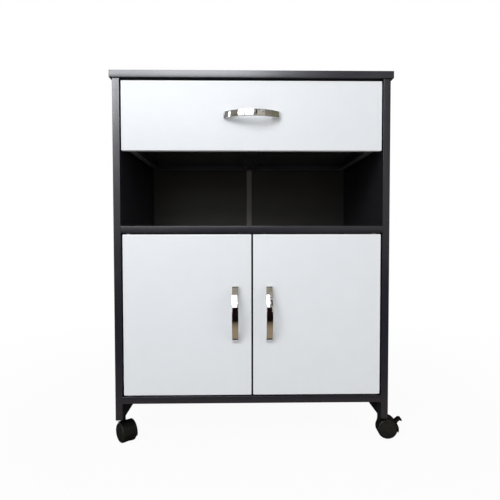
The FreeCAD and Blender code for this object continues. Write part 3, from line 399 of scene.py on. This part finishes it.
def arc(centre, radius, start, end, steps):
    """Points at centre + radius * (cos t, sin t) with t evenly from start to end."""
    turn = np.linspace(start, end, steps)
    return np.stack([centre[0] + radius * np.cos(turn), centre[1] + radius * np.sin(turn)],
                    axis=-1)


def bow_outline():
    """The handle from its side: feet on y = 0, an outer arc through the feet's tops and the
    strap's middle, an inner arc one strap thickness inside it, and a small arc rounding each
    outer corner."""
    half_length = 60 * mm
    reach = 32 * mm
    foot_height = 6 * mm
    foot_length = 18 * mm
    strap = 4.5 * mm
    corner = 3 * mm
    outer_steps, inner_steps, corner_steps = 72, 60, 8
    rise = reach - foot_height
    outer = (half_length * half_length + rise * rise) / (2 * rise)
    inner = outer - strap
    centre = np.array([0.0, outer - reach])
    corner_x = half_length - corner
    corner_y = centre[1] - math.sqrt((outer - corner) ** 2 - corner_x ** 2)
    corner_centre = np.array([corner_x, corner_y])
    lean = math.atan2(corner_y - centre[1], corner_x)
    far_lean = math.pi - lean - math.tau
    root_x = half_length - foot_length
    inner_lean = math.atan2(-math.sqrt(inner ** 2 - root_x ** 2), root_x)
    return np.concatenate([
        arc(corner_centre * (-1, 1), corner, math.pi, far_lean, corner_steps),
        arc(centre, outer, far_lean, lean, outer_steps)[1:-1],
        arc(corner_centre, corner, lean, 0, corner_steps),
        [(half_length, 0), (root_x, 0)],
        arc(centre, inner, inner_lean, -math.pi - inner_lean, inner_steps),
        [(-root_x, 0), (-half_length, 0)],
    ])


handle_edge = 1.0 * mm
for node_name, body, along, depth_axis in (
    ("drawer_handle", "drawer", (1, 0, 0), (0, 0, 1)),
    ("door_left_handle", "left_door", (0, 0, 1), (1, 0, 0)),
    ("door_right_handle", "right_door", (0, 0, 1), (1, 0, 0)),
):
    low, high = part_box(node_name)
    middle = (low + high) / 2
    width = high.z - low.z if along[0] else high.x - low.x
    axes = ((middle.x, high.y, middle.z), along, (0, 1, 0), depth_axis)
    handle = plate(f"{node_name}_cast", bow_outline(), width, handle_edge, axes, body,
                   [chrome])
    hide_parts(node_name)


# ---------------------------------------------------------------------------------------------
# Steel fittings.  Slides, pins, cams, bolts, stems, sockets and the doors' strike plates: pressed
# or turned mild steel with a bright zinc plate.
# ---------------------------------------------------------------------------------------------

# Zinc over cold-rolled strip: pale bluish grey, half dull, with rolling lines along the strip.
zinc, place = finish_named("bright_zinc", {
    "Base Color": paint("#b4b7bb"), "Metallic": 1.0, "Roughness": 0.35,
})
# Rolling lines are drawn 1.1 mm apart and 28 mm long, the plating's spangle at 4 mm.
drawn_out = add(zinc, "ShaderNodeMapping", {"Scale": (1.0, 0.04, 1.0)}, {"Vector": place})
rolling = add(zinc, "ShaderNodeTexNoise", {"Scale": 900.0, "Detail": 3.0},
              {"Vector": drawn_out.outputs["Vector"]})
spangle = add(zinc, "ShaderNodeTexVoronoi", {"Scale": 260.0}, {"Vector": place})
tone = add(zinc, "ShaderNodeMix",
           {"data_type": "RGBA", tone_a: paint("#a6abb2"), tone_b: paint("#c2c2bf")},
           {share: spangle.outputs["Distance"]})
dull = add(zinc, "ShaderNodeMapRange", {"To Min": 0.25, "To Max": 0.45},
           {"Value": rolling.outputs["Fac"]})
lines = add(zinc, "ShaderNodeBump", {"Strength": 0.2, "Distance": 0.00005},
            {"Height": rolling.outputs["Fac"]})
drive(zinc, {
    "Base Color": tone.outputs[mixed],
    "Roughness": dull.outputs["Result"],
    "Normal": lines.outputs["Normal"],
})
casters = ("front_left", "front_right", "rear_left", "rear_right")
dress(zinc, [
    "cam_locks", "cam_bolts", "shelf_pins", "slide_cabinet_member_left",
    "slide_cabinet_member_right", "slide_drawer_member_left", "slide_drawer_member_right",
    "slide_ball_cage_left", "slide_ball_cage_right", "drawer_handle_screws",
    "door_left_handle_screws", "door_right_handle_screws", "door_left_pivot_pins",
    "door_right_pivot_pins", "caster_stems", "caster_sockets",
])
dress(zinc, [f"caster_{name}_axle" for name in casters])

# The strike plates sit on the doors' rear faces, their tops half a millimetre below the doors' own.
strike_corner = 1.5 * mm
strike_edge = 0.2 * mm
strike_below_door = 0.5 * mm
strike_screws = {}
for label in ("left", "right"):
    low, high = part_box(f"door_{label}_strike_plate")
    drop = high.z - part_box(f"door_{label}")[1].z + strike_below_door
    middle = (low + high) / 2
    strike_screws[label] = (middle.x, high.y, middle.z - drop)
    outline = rounded_rectangle(high.x - low.x, high.z - low.z, strike_corner)
    axes = ((middle.x, middle.y, middle.z - drop), (1, 0, 0), (0, 0, 1), (0, -1, 0))
    strike = plate(f"door_{label}_strike", outline, high.y - low.y, strike_edge, axes,
                   f"{label}_door", [zinc], steps=2)
    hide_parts(f"door_{label}_strike_plate")

# Hardened balls, ground and polished: a bright mirror under a thin film of grease.
ball_steel, place = finish_named("ground_ball_steel", {
    "Base Color": paint("#c9cacc"), "Metallic": 1.0, "Roughness": 0.12,
})
# Grease lies in smears of about 2.4 mm.
grease = add(ball_steel, "ShaderNodeTexNoise", {"Scale": 420.0, "Detail": 2.0},
             {"Vector": place})
film = add(ball_steel, "ShaderNodeMapRange", {"To Min": 0.06, "To Max": 0.24},
           {"Value": grease.outputs["Fac"]})
drive(ball_steel, {"Roughness": film.outputs["Result"]})
dress(ball_steel, ["slide_balls"])


# ---------------------------------------------------------------------------------------------
# Screws.  Zinc plated pan-head screws with a cross recess.  They hold the slides to the cabinet
# sides and the drawer box, the magnetic catch to the shelf and the strike plates to the doors.
# ---------------------------------------------------------------------------------------------

def screw_heads(name, body, centres, facing, up, radius, height, cross=True):
    """Domed heads in one mesh.  Ring r of each head stands height * (1 - (r / radius) ** 4) ** 0.5
    off the face, less a cross-shaped recess that fades out at arm_end of the radius."""
    rings, spokes, hub, sunk = 8, 24, 0.08, 0.2 * mm
    recess, arm_half_width, arm_end, arm_fade = 0.6, 0.16, 0.62, 0.2
    facing, up = np.asarray(facing, float), np.asarray(up, float)
    aside = np.cross(up, facing)
    ring = np.linspace(hub, 1.0, rings)[:, None]
    turn = np.linspace(0, math.tau, spokes, endpoint=False)[None]
    rise = height * np.sqrt(np.clip(1 - ring ** 4, 0, 1)) * np.ones_like(turn)
    if cross:
        off_arm = np.minimum(np.abs(np.cos(turn)), np.abs(np.sin(turn))) * ring
        depth = recess * height * np.clip(1 - off_arm / arm_half_width, 0, 1)
        rise -= depth * np.clip((arm_end - ring) / arm_fade, 0, 1)
    rise[-1] = -sunk
    u, v = ring * np.cos(turn) * radius, ring * np.sin(turn) * radius
    head = u[..., None] * aside + v[..., None] * up + rise[..., None] * facing
    quads, index = woven(head.shape[:2], closed=False)
    head_faces = quads + [index[0].tolist(), index[-1].tolist()]
    points = head.reshape(1, -1, 3) + np.asarray(centres, float)[:, None]
    faces = [[corner + order * index.size for corner in face]
             for order in range(len(centres)) for face in head_faces]
    return made(name, points.reshape(-1, 3), faces, body, [zinc])


slide_steel = 1.2 * mm
cabinet_holes = (37, 165, 261)
drawer_holes = (20, 245)
for label, side in (("left", -1), ("right", 1)):
    low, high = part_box(f"slide_cabinet_member_{label}")
    web = side * (max(abs(low.x), abs(high.x)) - slide_steel)
    level = (low.z + high.z) / 2
    spots = [(web, low.y + hole * mm, level) for hole in cabinet_holes]
    screw_heads(f"slide_screws_cabinet_{label}", "carcass", spots, (-side, 0, 0), (0, 0, 1),
                radius=3.4 * mm, height=1.2 * mm)
    low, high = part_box(f"slide_drawer_member_{label}")
    web = side * (min(abs(low.x), abs(high.x)) + slide_steel)
    spots = [(web, low.y + hole * mm, level) for hole in drawer_holes]
    screw_heads(f"slide_screws_drawer_{label}", "drawer", spots, (side, 0, 0), (0, 0, 1),
                radius=3.4 * mm, height=1.2 * mm)

# The catch's two ears are thinner than its body, so their screws sit above its lower face.
low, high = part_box("magnetic_catch")
ear_inset = 4 * mm
ear_behind = 5 * mm
ear_thickness = 2 * mm
ear_x = (high.x - low.x) / 2 - ear_inset
spots = [(side * ear_x, high.y - ear_behind, high.z - ear_thickness) for side in (-1, 1)]
screw_heads("catch_screws", "carcass", spots, (0, 0, -1), (0, 1, 0), radius=3.1 * mm,
            height=1.5 * mm)
for label, spot in strike_screws.items():
    screw_heads(f"strike_screw_{label}", f"{label}_door", [spot], (0, 1, 0), (0, 0, 1),
                radius=2.8 * mm, height=0.5 * mm)


# ---------------------------------------------------------------------------------------------
# Back.  Two 3 mm hardboard panels, lacquered dark inside and left raw behind, pinned on with small
# nails and joined at the middle by an extruded plastic strip.
# ---------------------------------------------------------------------------------------------

# Hardboard, hot-pressed wood fibre: a thin dark lacquer inside, a brown screen-marked face behind.
hardboard, place = finish_named("hardboard", {
    "Base Color": paint("#383733"), "Roughness": 0.5, "IOR": 1.5, "Specular IOR Level": 0.25,
})
# Fibre bundles are drawn at 2.4 mm, and the lacquer varies in patches of about 110 mm.
fibre = add(hardboard, "ShaderNodeTexNoise", {"Scale": 420.0, "Detail": 5.0, "Roughness": 0.65},
            {"Vector": place})
patch = add(hardboard, "ShaderNodeTexNoise", {"Scale": 9.0, "Detail": 3.0}, {"Vector": place})
lacquer = add(hardboard, "ShaderNodeMix",
              {"data_type": "RGBA", tone_a: paint("#33322f"), tone_b: paint("#3d3c38")},
              {share: patch.outputs["Fac"]})
brown = add(hardboard, "ShaderNodeMix",
            {"data_type": "RGBA", tone_a: paint("#6e5039"), tone_b: paint("#a07c57")},
            {share: fibre.outputs["Fac"]})
# The forming screen leaves a mesh of 1.6 mm squares on the rear face.
screen_pitch = 1.6 * mm
split = add(hardboard, "ShaderNodeSeparateXYZ", None, {"Vector": place})
threads = []
for axis in ("X", "Z"):
    wave = add(hardboard, "ShaderNodeMath",
               {"operation": "MULTIPLY", 1: math.tau / screen_pitch}, {0: split.outputs[axis]})
    thread = add(hardboard, "ShaderNodeMath", {"operation": "SINE"}, {0: wave.outputs[0]})
    threads.append(thread.outputs[0])
screen = add(hardboard, "ShaderNodeMath", {"operation": "MAXIMUM"},
             {0: threads[0], 1: threads[1]})
facing = add(hardboard, "ShaderNodeSeparateXYZ", None, {"Vector": place.node.outputs["Normal"]})
behind = add(hardboard, "ShaderNodeMath", {"operation": "GREATER_THAN", 1: 0.5},
             {0: facing.outputs["Y"]})
marks = add(hardboard, "ShaderNodeMath", {"operation": "MULTIPLY"},
            {0: screen.outputs[0], 1: behind.outputs[0]})
rough_height = add(hardboard, "ShaderNodeMath", {"operation": "ADD"},
                   {0: fibre.outputs["Fac"], 1: marks.outputs[0]})
skin = add(hardboard, "ShaderNodeMix", {"data_type": "RGBA"},
           {share: behind.outputs[0], tone_a: lacquer.outputs[mixed],
            tone_b: brown.outputs[mixed]})
dull = add(hardboard, "ShaderNodeMapRange", {"To Min": 0.38, "To Max": 0.8},
           {"Value": behind.outputs[0]})
relief = add(hardboard, "ShaderNodeBump", {"Strength": 0.3, "Distance": 0.0001},
             {"Height": rough_height.outputs[0]})
drive(hardboard, {
    "Base Color": skin.outputs[mixed],
    "Roughness": dull.outputs["Result"],
    "Normal": relief.outputs["Normal"],
})
dress(hardboard, ["back_panel_left", "back_panel_right"])

# Rigid PVC, extruded: a dull warm grey with faint die lines up its length.
strip_pvc, place = finish_named("extruded_pvc", {
    "Base Color": paint("#7d7a73"), "Roughness": 0.5, "IOR": 1.53,
})
# Die lines are drawn 0.9 mm apart and 45 mm long.
drawn_up = add(strip_pvc, "ShaderNodeMapping", {"Scale": (1.0, 1.0, 0.02)}, {"Vector": place})
die_lines = add(strip_pvc, "ShaderNodeTexNoise", {"Scale": 1100.0, "Detail": 2.0},
                {"Vector": drawn_up.outputs["Vector"]})
tone = add(strip_pvc, "ShaderNodeMix",
           {"data_type": "RGBA", tone_a: paint("#74716c"), tone_b: paint("#868379")},
           {share: die_lines.outputs["Fac"]})
lines = add(strip_pvc, "ShaderNodeBump", {"Strength": 0.2, "Distance": 0.00008},
            {"Height": die_lines.outputs["Fac"]})
drive(strip_pvc, {"Base Color": tone.outputs[mixed], "Normal": lines.outputs["Normal"]})
dress(strip_pvc, ["back_joiner_strip"])

# Nine nails go up each side panel and six into each of the two fixed boards between them.
panel_low, panel_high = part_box("back_panel_left")
side_low, side_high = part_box("side_panel_left")
side_nails = 9
nail_from_end = 25 * mm
board_nails = (-210, -120, -40, 40, 120, 210)
nail_x = abs(side_low.x + side_high.x) / 2
rear = panel_high.y
levels = np.linspace(panel_low.z + nail_from_end, panel_high.z - nail_from_end, side_nails)
spots = [(side * nail_x, rear, z) for side in (-1, 1) for z in levels]
for board_name in ("bottom_panel", "middle_shelf"):
    low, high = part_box(board_name)
    spots += [(nail * mm, rear, (low.z + high.z) / 2) for nail in board_nails]
screw_heads("back_nails", "carcass", spots, (0, 1, 0), (0, 0, 1), radius=1.9 * mm,
            height=0.5 * mm, cross=False)


# ---------------------------------------------------------------------------------------------
# Drawer bottom.  3 mm hardboard lacquered dark on both faces, slid into grooves in the drawer's
# sides and held up at its middle by a brace with six screws.
# ---------------------------------------------------------------------------------------------

# The same board with a wet-look lacquer: nearly black with a mirror-like sheen at low angles.
lacquered_board, place = finish_named("lacquered_hardboard", {
    "Base Color": paint("#302f2d"), "Roughness": 0.2, "IOR": 1.5,
})
# The lacquer pools over about 80 mm; the fibre under it is drawn at 2.6 mm.
patch = add(lacquered_board, "ShaderNodeTexNoise", {"Scale": 12.0, "Detail": 3.0},
            {"Vector": place})
fibre = add(lacquered_board, "ShaderNodeTexNoise", {"Scale": 380.0, "Detail": 4.0},
            {"Vector": place})
tone = add(lacquered_board, "ShaderNodeMix",
           {"data_type": "RGBA", tone_a: paint("#2a2928"), tone_b: paint("#363432")},
           {share: patch.outputs["Fac"]})
gloss = add(lacquered_board, "ShaderNodeMapRange", {"To Min": 0.14, "To Max": 0.28},
            {"Value": patch.outputs["Fac"]})
relief = add(lacquered_board, "ShaderNodeBump", {"Strength": 0.12, "Distance": 0.00006},
             {"Height": fibre.outputs["Fac"]})
drive(lacquered_board, {
    "Base Color": tone.outputs[mixed],
    "Roughness": gloss.outputs["Result"],
    "Normal": relief.outputs["Normal"],
})
dress(lacquered_board, ["drawer_bottom"])

low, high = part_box("drawer_bottom_brace")
row_half_gap = 12 * mm
first_screw = 30 * mm
screw_pitch = 125 * mm
row_screws = 3
spots = [(side * row_half_gap, low.y + first_screw + order * screw_pitch, low.z)
         for side in (-1, 1) for order in range(row_screws)]
screw_heads("brace_screws", "drawer", spots, (0, 0, -1), (0, 1, 0), radius=2.6 * mm,
            height=0.7 * mm)


# ---------------------------------------------------------------------------------------------
# Dowels.  Fluted beech pins, turned and left bare, pressed into bores in two boards at a time and
# hidden in the joints.
# ---------------------------------------------------------------------------------------------

# Bare beech: warm straw with short darker ray flecks, drawn at 2 mm.
beech, place = finish_named("bare_beech", {
    "Base Color": paint("#ba9362"), "Roughness": 0.65, "IOR": 1.45,
})
rays = add(beech, "ShaderNodeTexNoise", {"Scale": 500.0, "Detail": 4.0}, {"Vector": place})
tone = add(beech, "ShaderNodeMix",
           {"data_type": "RGBA", tone_a: paint("#a77f4f"), tone_b: paint("#cda674")},
           {share: rays.outputs["Fac"]})
drive(beech, {"Base Color": tone.outputs[mixed]})
dress(beech, ["dowels"])


# ---------------------------------------------------------------------------------------------
# Catch and pivot bushes.  Grey nylon mouldings: a double magnetic catch under the middle shelf and
# a bush for each door pin.
# ---------------------------------------------------------------------------------------------

# Nylon, injection moulded: a dark grey, slightly waxy.
grey_nylon, place = finish_named("grey_nylon", {
    "Base Color": paint("#484846"), "Roughness": 0.42, "IOR": 1.53, "Subsurface Weight": 0.1,
    "Subsurface Scale": 0.002,
})
# Spark texture is about 0.1 mm; it is drawn at 0.8 mm so that it shows.
spark = add(grey_nylon, "ShaderNodeTexNoise", {"Scale": 1300.0, "Detail": 2.0},
            {"Vector": place})
tone = add(grey_nylon, "ShaderNodeMix",
           {"data_type": "RGBA", tone_a: paint("#424240"), tone_b: paint("#4e4e4c")},
           {share: spark.outputs["Fac"]})
relief = add(grey_nylon, "ShaderNodeBump", {"Strength": 0.15, "Distance": 0.00005},
             {"Height": spark.outputs["Fac"]})
drive(grey_nylon, {"Base Color": tone.outputs[mixed], "Normal": relief.outputs["Normal"]})
dress(grey_nylon, ["magnetic_catch", "pivot_bushes"])


# ---------------------------------------------------------------------------------------------
# Casters.  Twin wheels under a moulded hood on a plain steel stem; black nylon throughout.  Two of
# the four have a lever whose shoe is pressed on to the treads.
# ---------------------------------------------------------------------------------------------

# Glass-filled nylon, injection moulded on a spark-eroded tool: near black with a soft grey sheen.
black_nylon, place = finish_named("black_nylon", {
    "Base Color": paint("#0d0d0c"), "Roughness": 0.42, "IOR": 1.53, "Specular IOR Level": 0.3,
})
# The same spark texture, drawn at 0.8 mm, and flow marks about 17 mm long.
spark = add(black_nylon, "ShaderNodeTexNoise", {"Scale": 1250.0, "Detail": 2.0},
            {"Vector": place})
flow = add(black_nylon, "ShaderNodeTexNoise", {"Scale": 60.0, "Detail": 3.0}, {"Vector": place})
tone = add(black_nylon, "ShaderNodeMix",
           {"data_type": "RGBA", tone_a: paint("#0a0a09"), tone_b: paint("#121210")},
           {share: flow.outputs["Fac"]})
dull = add(black_nylon, "ShaderNodeMapRange", {"To Min": 0.28, "To Max": 0.46},
           {"Value": flow.outputs["Fac"]})
relief = add(black_nylon, "ShaderNodeBump", {"Strength": 0.2, "Distance": 0.00005},
             {"Height": spark.outputs["Fac"]})
drive(black_nylon, {
    "Base Color": tone.outputs[mixed],
    "Roughness": dull.outputs["Result"],
    "Normal": relief.outputs["Normal"],
})
dress(black_nylon, [f"caster_{name}_hood" for name in casters])
dress(black_nylon, ["caster_front_right_brake_lever", "caster_rear_left_brake_lever"])

# The hood's web reaches almost to the floor between the two treads, as one rim: an arc about the
# axle, below and behind it, with a rounded section.
rim_radius = 20 * mm
rim_section = rounded_rectangle(width=10 * mm, height=3 * mm, radius=1 * mm)
rim_from, rim_to, rim_steps = 176, 344, 43
rim_turn = np.radians(np.linspace(rim_from, rim_to, rim_steps))[:, None]
upwards = np.array([0.0, 0.0, 1.0])
sockets_low, sockets_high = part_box("caster_sockets")
side_low, side_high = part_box("side_panel_right")
stem_x = (side_low.x + side_high.x) / 2
flange = sockets_high.x - stem_x
stem_rows = {"front": sockets_low.y + flange, "rear": sockets_high.y - flange}
for name in casters:
    low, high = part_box(f"caster_{name}_axle")
    hub = np.array((low + high) / 2)
    row, side = name.split("_")
    trail = hub - np.array([stem_x if side == "right" else -stem_x, stem_rows[row], hub[2]])
    trail /= np.linalg.norm(trail)
    radial = np.cos(rim_turn) * trail + np.sin(rim_turn) * upwards
    sideways = np.cross(upwards, trail)
    carried(f"caster_{name}_web_rim", rim_section, hub + rim_radius * radial,
            [sideways] * len(radial), radial, f"{name}_caster", black_nylon)

# The wheels' nylon, rubbed by the floor: greyer and duller, with light dust. Its greenish cast is a
# painted reflection of the brown floor.
wheel_nylon, place = finish_named("wheel_nylon", {
    "Base Color": paint("#151613"), "Roughness": 0.5, "IOR": 1.53, "Specular IOR Level": 0.35,
})
# Dust lies in patches of about 6 mm.
dust = add(wheel_nylon, "ShaderNodeTexNoise", {"Scale": 160.0, "Detail": 5.0}, {"Vector": place})
spark = add(wheel_nylon, "ShaderNodeTexNoise", {"Scale": 1250.0, "Detail": 2.0},
            {"Vector": place})
# Both dust tones carry the painted greenish reflection of the floor.
tone = add(wheel_nylon, "ShaderNodeMix",
           {"data_type": "RGBA", tone_a: paint("#10110f"), tone_b: paint("#1e201c")},
           {share: dust.outputs["Fac"]})
dull = add(wheel_nylon, "ShaderNodeMapRange", {"To Min": 0.34, "To Max": 0.6},
           {"Value": dust.outputs["Fac"]})
relief = add(wheel_nylon, "ShaderNodeBump", {"Strength": 0.2, "Distance": 0.00006},
             {"Height": spark.outputs["Fac"]})
drive(wheel_nylon, {
    "Base Color": tone.outputs[mixed],
    "Roughness": dull.outputs["Result"],
    "Normal": relief.outputs["Normal"],
})
dress(wheel_nylon, [f"caster_{name}_wheel_{side}" for name in casters
                    for side in ("left", "right")])


# ---------------------------------------------------------------------------------------------
# Studio.  A pale floor that fades to white, a white surround, and one large soft lamp high on the
# left with a weak one on the right.
# ---------------------------------------------------------------------------------------------

def card(name, corners, material):
    """One flat four-cornered sheet of the studio."""
    mesh = bpy.data.meshes.new(name)
    mesh.from_pydata(corners, [], [(0, 1, 2, 3)])
    mesh.materials.append(material)
    piece = bpy.data.objects.new(name, mesh)
    bpy.context.scene.collection.objects.link(piece)
    return piece


def seen_ray(material):
    """1 where a ray comes from the camera, from gloss or through glass, and 0 where it only
    gathers light: the larger of those Light Path outputs."""
    path = add(material, "ShaderNodeLightPath")
    found = path.outputs["Is Camera Ray"]
    for kind in ("Is Glossy Ray", "Is Transmission Ray"):
        larger = add(material, "ShaderNodeMath", {"operation": "MAXIMUM"},
                     {0: found, 1: path.outputs[kind]})
        found = larger.outputs[0]
    return found


# Painted studio floor: mid white for the light it returns.  To the eye it is white, with the
# stand's soft shadow kept near it and gone 1.5 m away.
floor_paint, place = finish_named("floor_paint", {
    "Base Color": paint("#dedede"), "Roughness": 0.9,
})
seen = seen_ray(floor_paint)
distance = add(floor_paint, "ShaderNodeVectorMath", {"operation": "LENGTH"}, {0: place})
fade = add(floor_paint, "ShaderNodeMapRange",
           {"From Min": 0.45, "From Max": 1.5, "To Min": 0.95, "To Max": 1.0},
           {"Value": distance.outputs["Value"]})
whitened = add(floor_paint, "ShaderNodeMath", {"operation": "MULTIPLY"},
               {0: seen, 1: fade.outputs["Result"]})
glow = add(floor_paint, "ShaderNodeEmission", {"Color": (1, 1, 1, 1), "Strength": 1.0})
nodes = floor_paint.node_tree.nodes
blended = add(floor_paint, "ShaderNodeMixShader", None, {
    0: whitened.outputs[0],
    1: nodes["Principled BSDF"].outputs[0],
    2: glow.outputs[0],
})
floor_paint.node_tree.links.new(blended.outputs[0], nodes["Material Output"].inputs["Surface"])
wide = 14.0
card("studio_floor", [(-wide, -wide, 0), (wide, -wide, 0), (wide, wide, 0), (-wide, wide, 0)],
     floor_paint)

# The surround is white to the eye and about half as strong as a light.
surround_light = 0.52
world = bpy.data.worlds.new("studio_surround")
bpy.context.scene.world = world
world.use_nodes = True
level = add(world, "ShaderNodeMapRange", {"To Min": surround_light, "To Max": 1.0},
            {"Value": seen_ray(world)})
background = world.node_tree.nodes["Background"]
background.inputs["Color"].default_value = (1, 1, 1, 1)
world.node_tree.links.new(level.outputs["Result"], background.inputs["Strength"])


def soft_lamp(name, place, aim, width, height, power, colour):
    """A soft rectangular lamp at place, turned to aim, that glossy surfaces don't mirror."""
    lamp = bpy.data.lights.new(name, "AREA")
    lamp.shape = "RECTANGLE"
    lamp.size, lamp.size_y = width, height
    lamp.energy = power
    lamp.color = paint(colour)[:3]
    piece = bpy.data.objects.new(name, lamp)
    bpy.context.scene.collection.objects.link(piece)
    piece.location = place
    piece.rotation_euler = (Vector(aim) - Vector(place)).to_track_quat("-Z", "Y").to_euler()
    piece.visible_glossy = False


soft_lamp("lamp_left", (-1.15, -2.5, 2.05), aim=(0.0, 0.0, 0.65), width=1.8, height=1.4,
          power=42.5, colour="#fbfdff")
soft_lamp("lamp_right", (2.2, -2.0, 1.2), aim=(0.0, 0.0, 0.4), width=1.4, height=1.4,
          power=8.0, colour="#ffffff")


# ---------------------------------------------------------------------------------------------
# Room.  Glowing cards that only glossy surfaces see, behind the camera and round the stand: a wide
# window, shelves, pictures and dark furniture to shine in the chrome and along the boards' edges.
# ---------------------------------------------------------------------------------------------

def room_card(name, corners, tones, strength=1.0, patch=3.0, fade=None):
    """A glowing sheet that only glossy rays meet.  Its tone runs between two colours: over noise
    patches, 1 / patch metres wide, or along y from fade[0] to fade[1]."""
    cloth = bpy.data.materials.new(name)
    cloth.use_nodes = True
    nodes = cloth.node_tree.nodes
    nodes.remove(nodes["Principled BSDF"])
    place = add(cloth, "ShaderNodeTexCoord").outputs["Object"]
    if fade is None:
        start, end = 0.35, 0.65
        noise = add(cloth, "ShaderNodeTexNoise", {"Scale": patch, "Detail": 2.0},
                    {"Vector": place})
        run = noise.outputs["Fac"]
    else:
        start, end = fade
        run = add(cloth, "ShaderNodeSeparateXYZ", None, {"Vector": place}).outputs["Y"]
    spread = add(cloth, "ShaderNodeMapRange", {"From Min": start, "From Max": end},
                 {"Value": run})
    tone = add(cloth, "ShaderNodeMix",
               {"data_type": "RGBA", tone_a: paint(tones[0]), tone_b: paint(tones[1])},
               {share: spread.outputs["Result"]})
    glow = add(cloth, "ShaderNodeEmission", {"Strength": strength},
               {"Color": tone.outputs[mixed]})
    cloth.node_tree.links.new(glow.outputs[0], nodes["Material Output"].inputs["Surface"])
    piece = card(name, corners, cloth)
    piece.visible_camera = False
    piece.visible_diffuse = False
    piece.visible_shadow = False
    piece.visible_transmission = False


def room_wall(name, x_range, z_range, y, tones, strength=1.0, patch=3.0):
    """A room card that faces the stand, x and z from their low to their high value."""
    (left, right), (bottom, top) = x_range, z_range
    corners = [(left, y, bottom), (right, y, bottom), (right, y, top), (left, y, top)]
    room_card(name, corners, tones, strength, patch)


def room_side(name, x, y_range, z_range, tones, strength=1.0):
    """A room card that faces sideways, at one x."""
    (near, far), (bottom, top) = y_range, z_range
    corners = [(x, near, bottom), (x, far, bottom), (x, far, top), (x, near, top)]
    room_card(name, corners, tones, strength, patch=2.0)


def room_level(name, z, y_range, tones, fade=None):
    """A room card that lies level across the whole room."""
    (left, right), (near, far) = room_width, y_range
    corners = [(left, near, z), (right, near, z), (right, far, z), (left, far, z)]
    room_card(name, corners, tones, patch=1.0, fade=fade)


room_width, room_depth, room_height = (-4.5, 4.5), (-2.6, 2.5), (0.0, 3.4)
near_wall, seats = -1.75, -1.745
low_top, seat_top, foot_top, picture_foot, lintel = 0.36, 0.76, 1.11, 1.25, 2.5
window_end, shelves_end, wall_end = 0.12, 0.45, 1.3
daylight = ("#ffffff", "#f4f8ff")
cushion = ("#cbc6ba", "#b9b4a8")
dark_wood = ("#070405", "#1d1012")
room_wall("room_wall_behind", room_width, room_height, room_depth[0], ("#8f8b80", "#7b7568"),
          patch=1.2)
for pane, x_range in (("left", (-1.42, -0.65)), ("right", (-0.59, window_end))):
    room_wall(f"room_window_{pane}_pane", x_range, (foot_top, lintel), near_wall, daylight,
              strength=12.5)
    room_wall(f"room_window_{pane}_foot", x_range, (seat_top, foot_top), near_wall, daylight,
              strength=2.0)
room_wall("room_shelves", (window_end, shelves_end), (seat_top, lintel), near_wall,
          ("#060504", "#e2dfd8"))
room_wall("room_pale_wall", (shelves_end, wall_end), (low_top, picture_foot), near_wall,
          ("#c6c0b2", "#b6afa1"), patch=2.0)
room_wall("room_pictures", (shelves_end, wall_end), (picture_foot, lintel), near_wall,
          ("#17120d", "#e4e2de"), patch=5.0)
for side, x_range in (("left", (-1.42, -0.3)), ("right", (0.32, shelves_end))):
    room_wall(f"room_seat_{side}", x_range, (low_top, seat_top), seats, cushion, patch=2.0)
room_wall("room_furniture", (-1.5, shelves_end), (0.0, seat_top), near_wall, dark_wood, patch=2.0)
room_wall("room_low_furniture", (shelves_end, 1.4), (0.0, low_top), near_wall, dark_wood,
          patch=2.0)
room_wall("room_wall_far", room_width, room_height, room_depth[1], ("#4a463f", "#3b3832"),
          patch=1.2)
room_side("room_side_left", room_width[0], room_depth, room_height, ("#92928c", "#84847e"))
room_side("room_lit_doorway", -4.45, (-1.9, -1.3), (0.0, 2.3), ("#ffffff", "#f2f2ee"),
          strength=3.0)
room_side("room_side_right", room_width[1], room_depth, room_height, ("#84846f", "#6b6a58"))
ceiling, carpet = 3.2, 0.002
room_level("room_ceiling", ceiling, (room_depth[0], -0.6), ("#b0a999", "#958f82"))
room_level("room_ceiling_far", ceiling, (-0.6, room_depth[1]), ("#5b564e", "#47433c"))
room_level("room_floor", carpet, (-1.74, -0.2), ("#140f0d", "#9b8a72"), fade=(-0.8, -0.4))
# Under and behind the stand the floor card darkens to near black: a painted shadow of the stand, as
# glossy surfaces see it.
room_level("room_floor_painted_shadow", carpet, (-0.2, room_depth[1]), ("#38332e", "#151311"),
           fade=(-0.2, -0.05))


# ---------------------------------------------------------------------------------------------
# Camera.  A phone's main lens, a little left of square on and just above the middle of the stand.
# It looks slightly to the right and slightly down, with a trace of roll.
# ---------------------------------------------------------------------------------------------

camera_data = bpy.data.cameras.new("camera")
camera = bpy.data.objects.new("camera", camera_data)
bpy.context.scene.collection.objects.link(camera)
bpy.context.scene.camera = camera
camera_data.sensor_width = 36.0
camera_data.lens = 34.38
camera_data.clip_start = 0.02
camera_data.clip_end = 60.0
viewpoint = (-0.0231, -1.2034, 0.4586)
yaw, pitch, roll = 0.018, -0.0353, -0.0014
ahead = math.cos(pitch)
forward = Vector((math.sin(yaw) * ahead, math.cos(yaw) * ahead, math.sin(pitch)))
right = forward.cross(Vector((0, 0, 1))).normalized()
upward = right.cross(forward)
turn = Matrix((right, upward, -forward)).transposed().to_4x4()
camera.matrix_world = Matrix.Translation(viewpoint) @ turn @ Matrix.Rotation(roll, 4, "Z")

bpy.context.scene.view_settings.view_transform = "Standard"
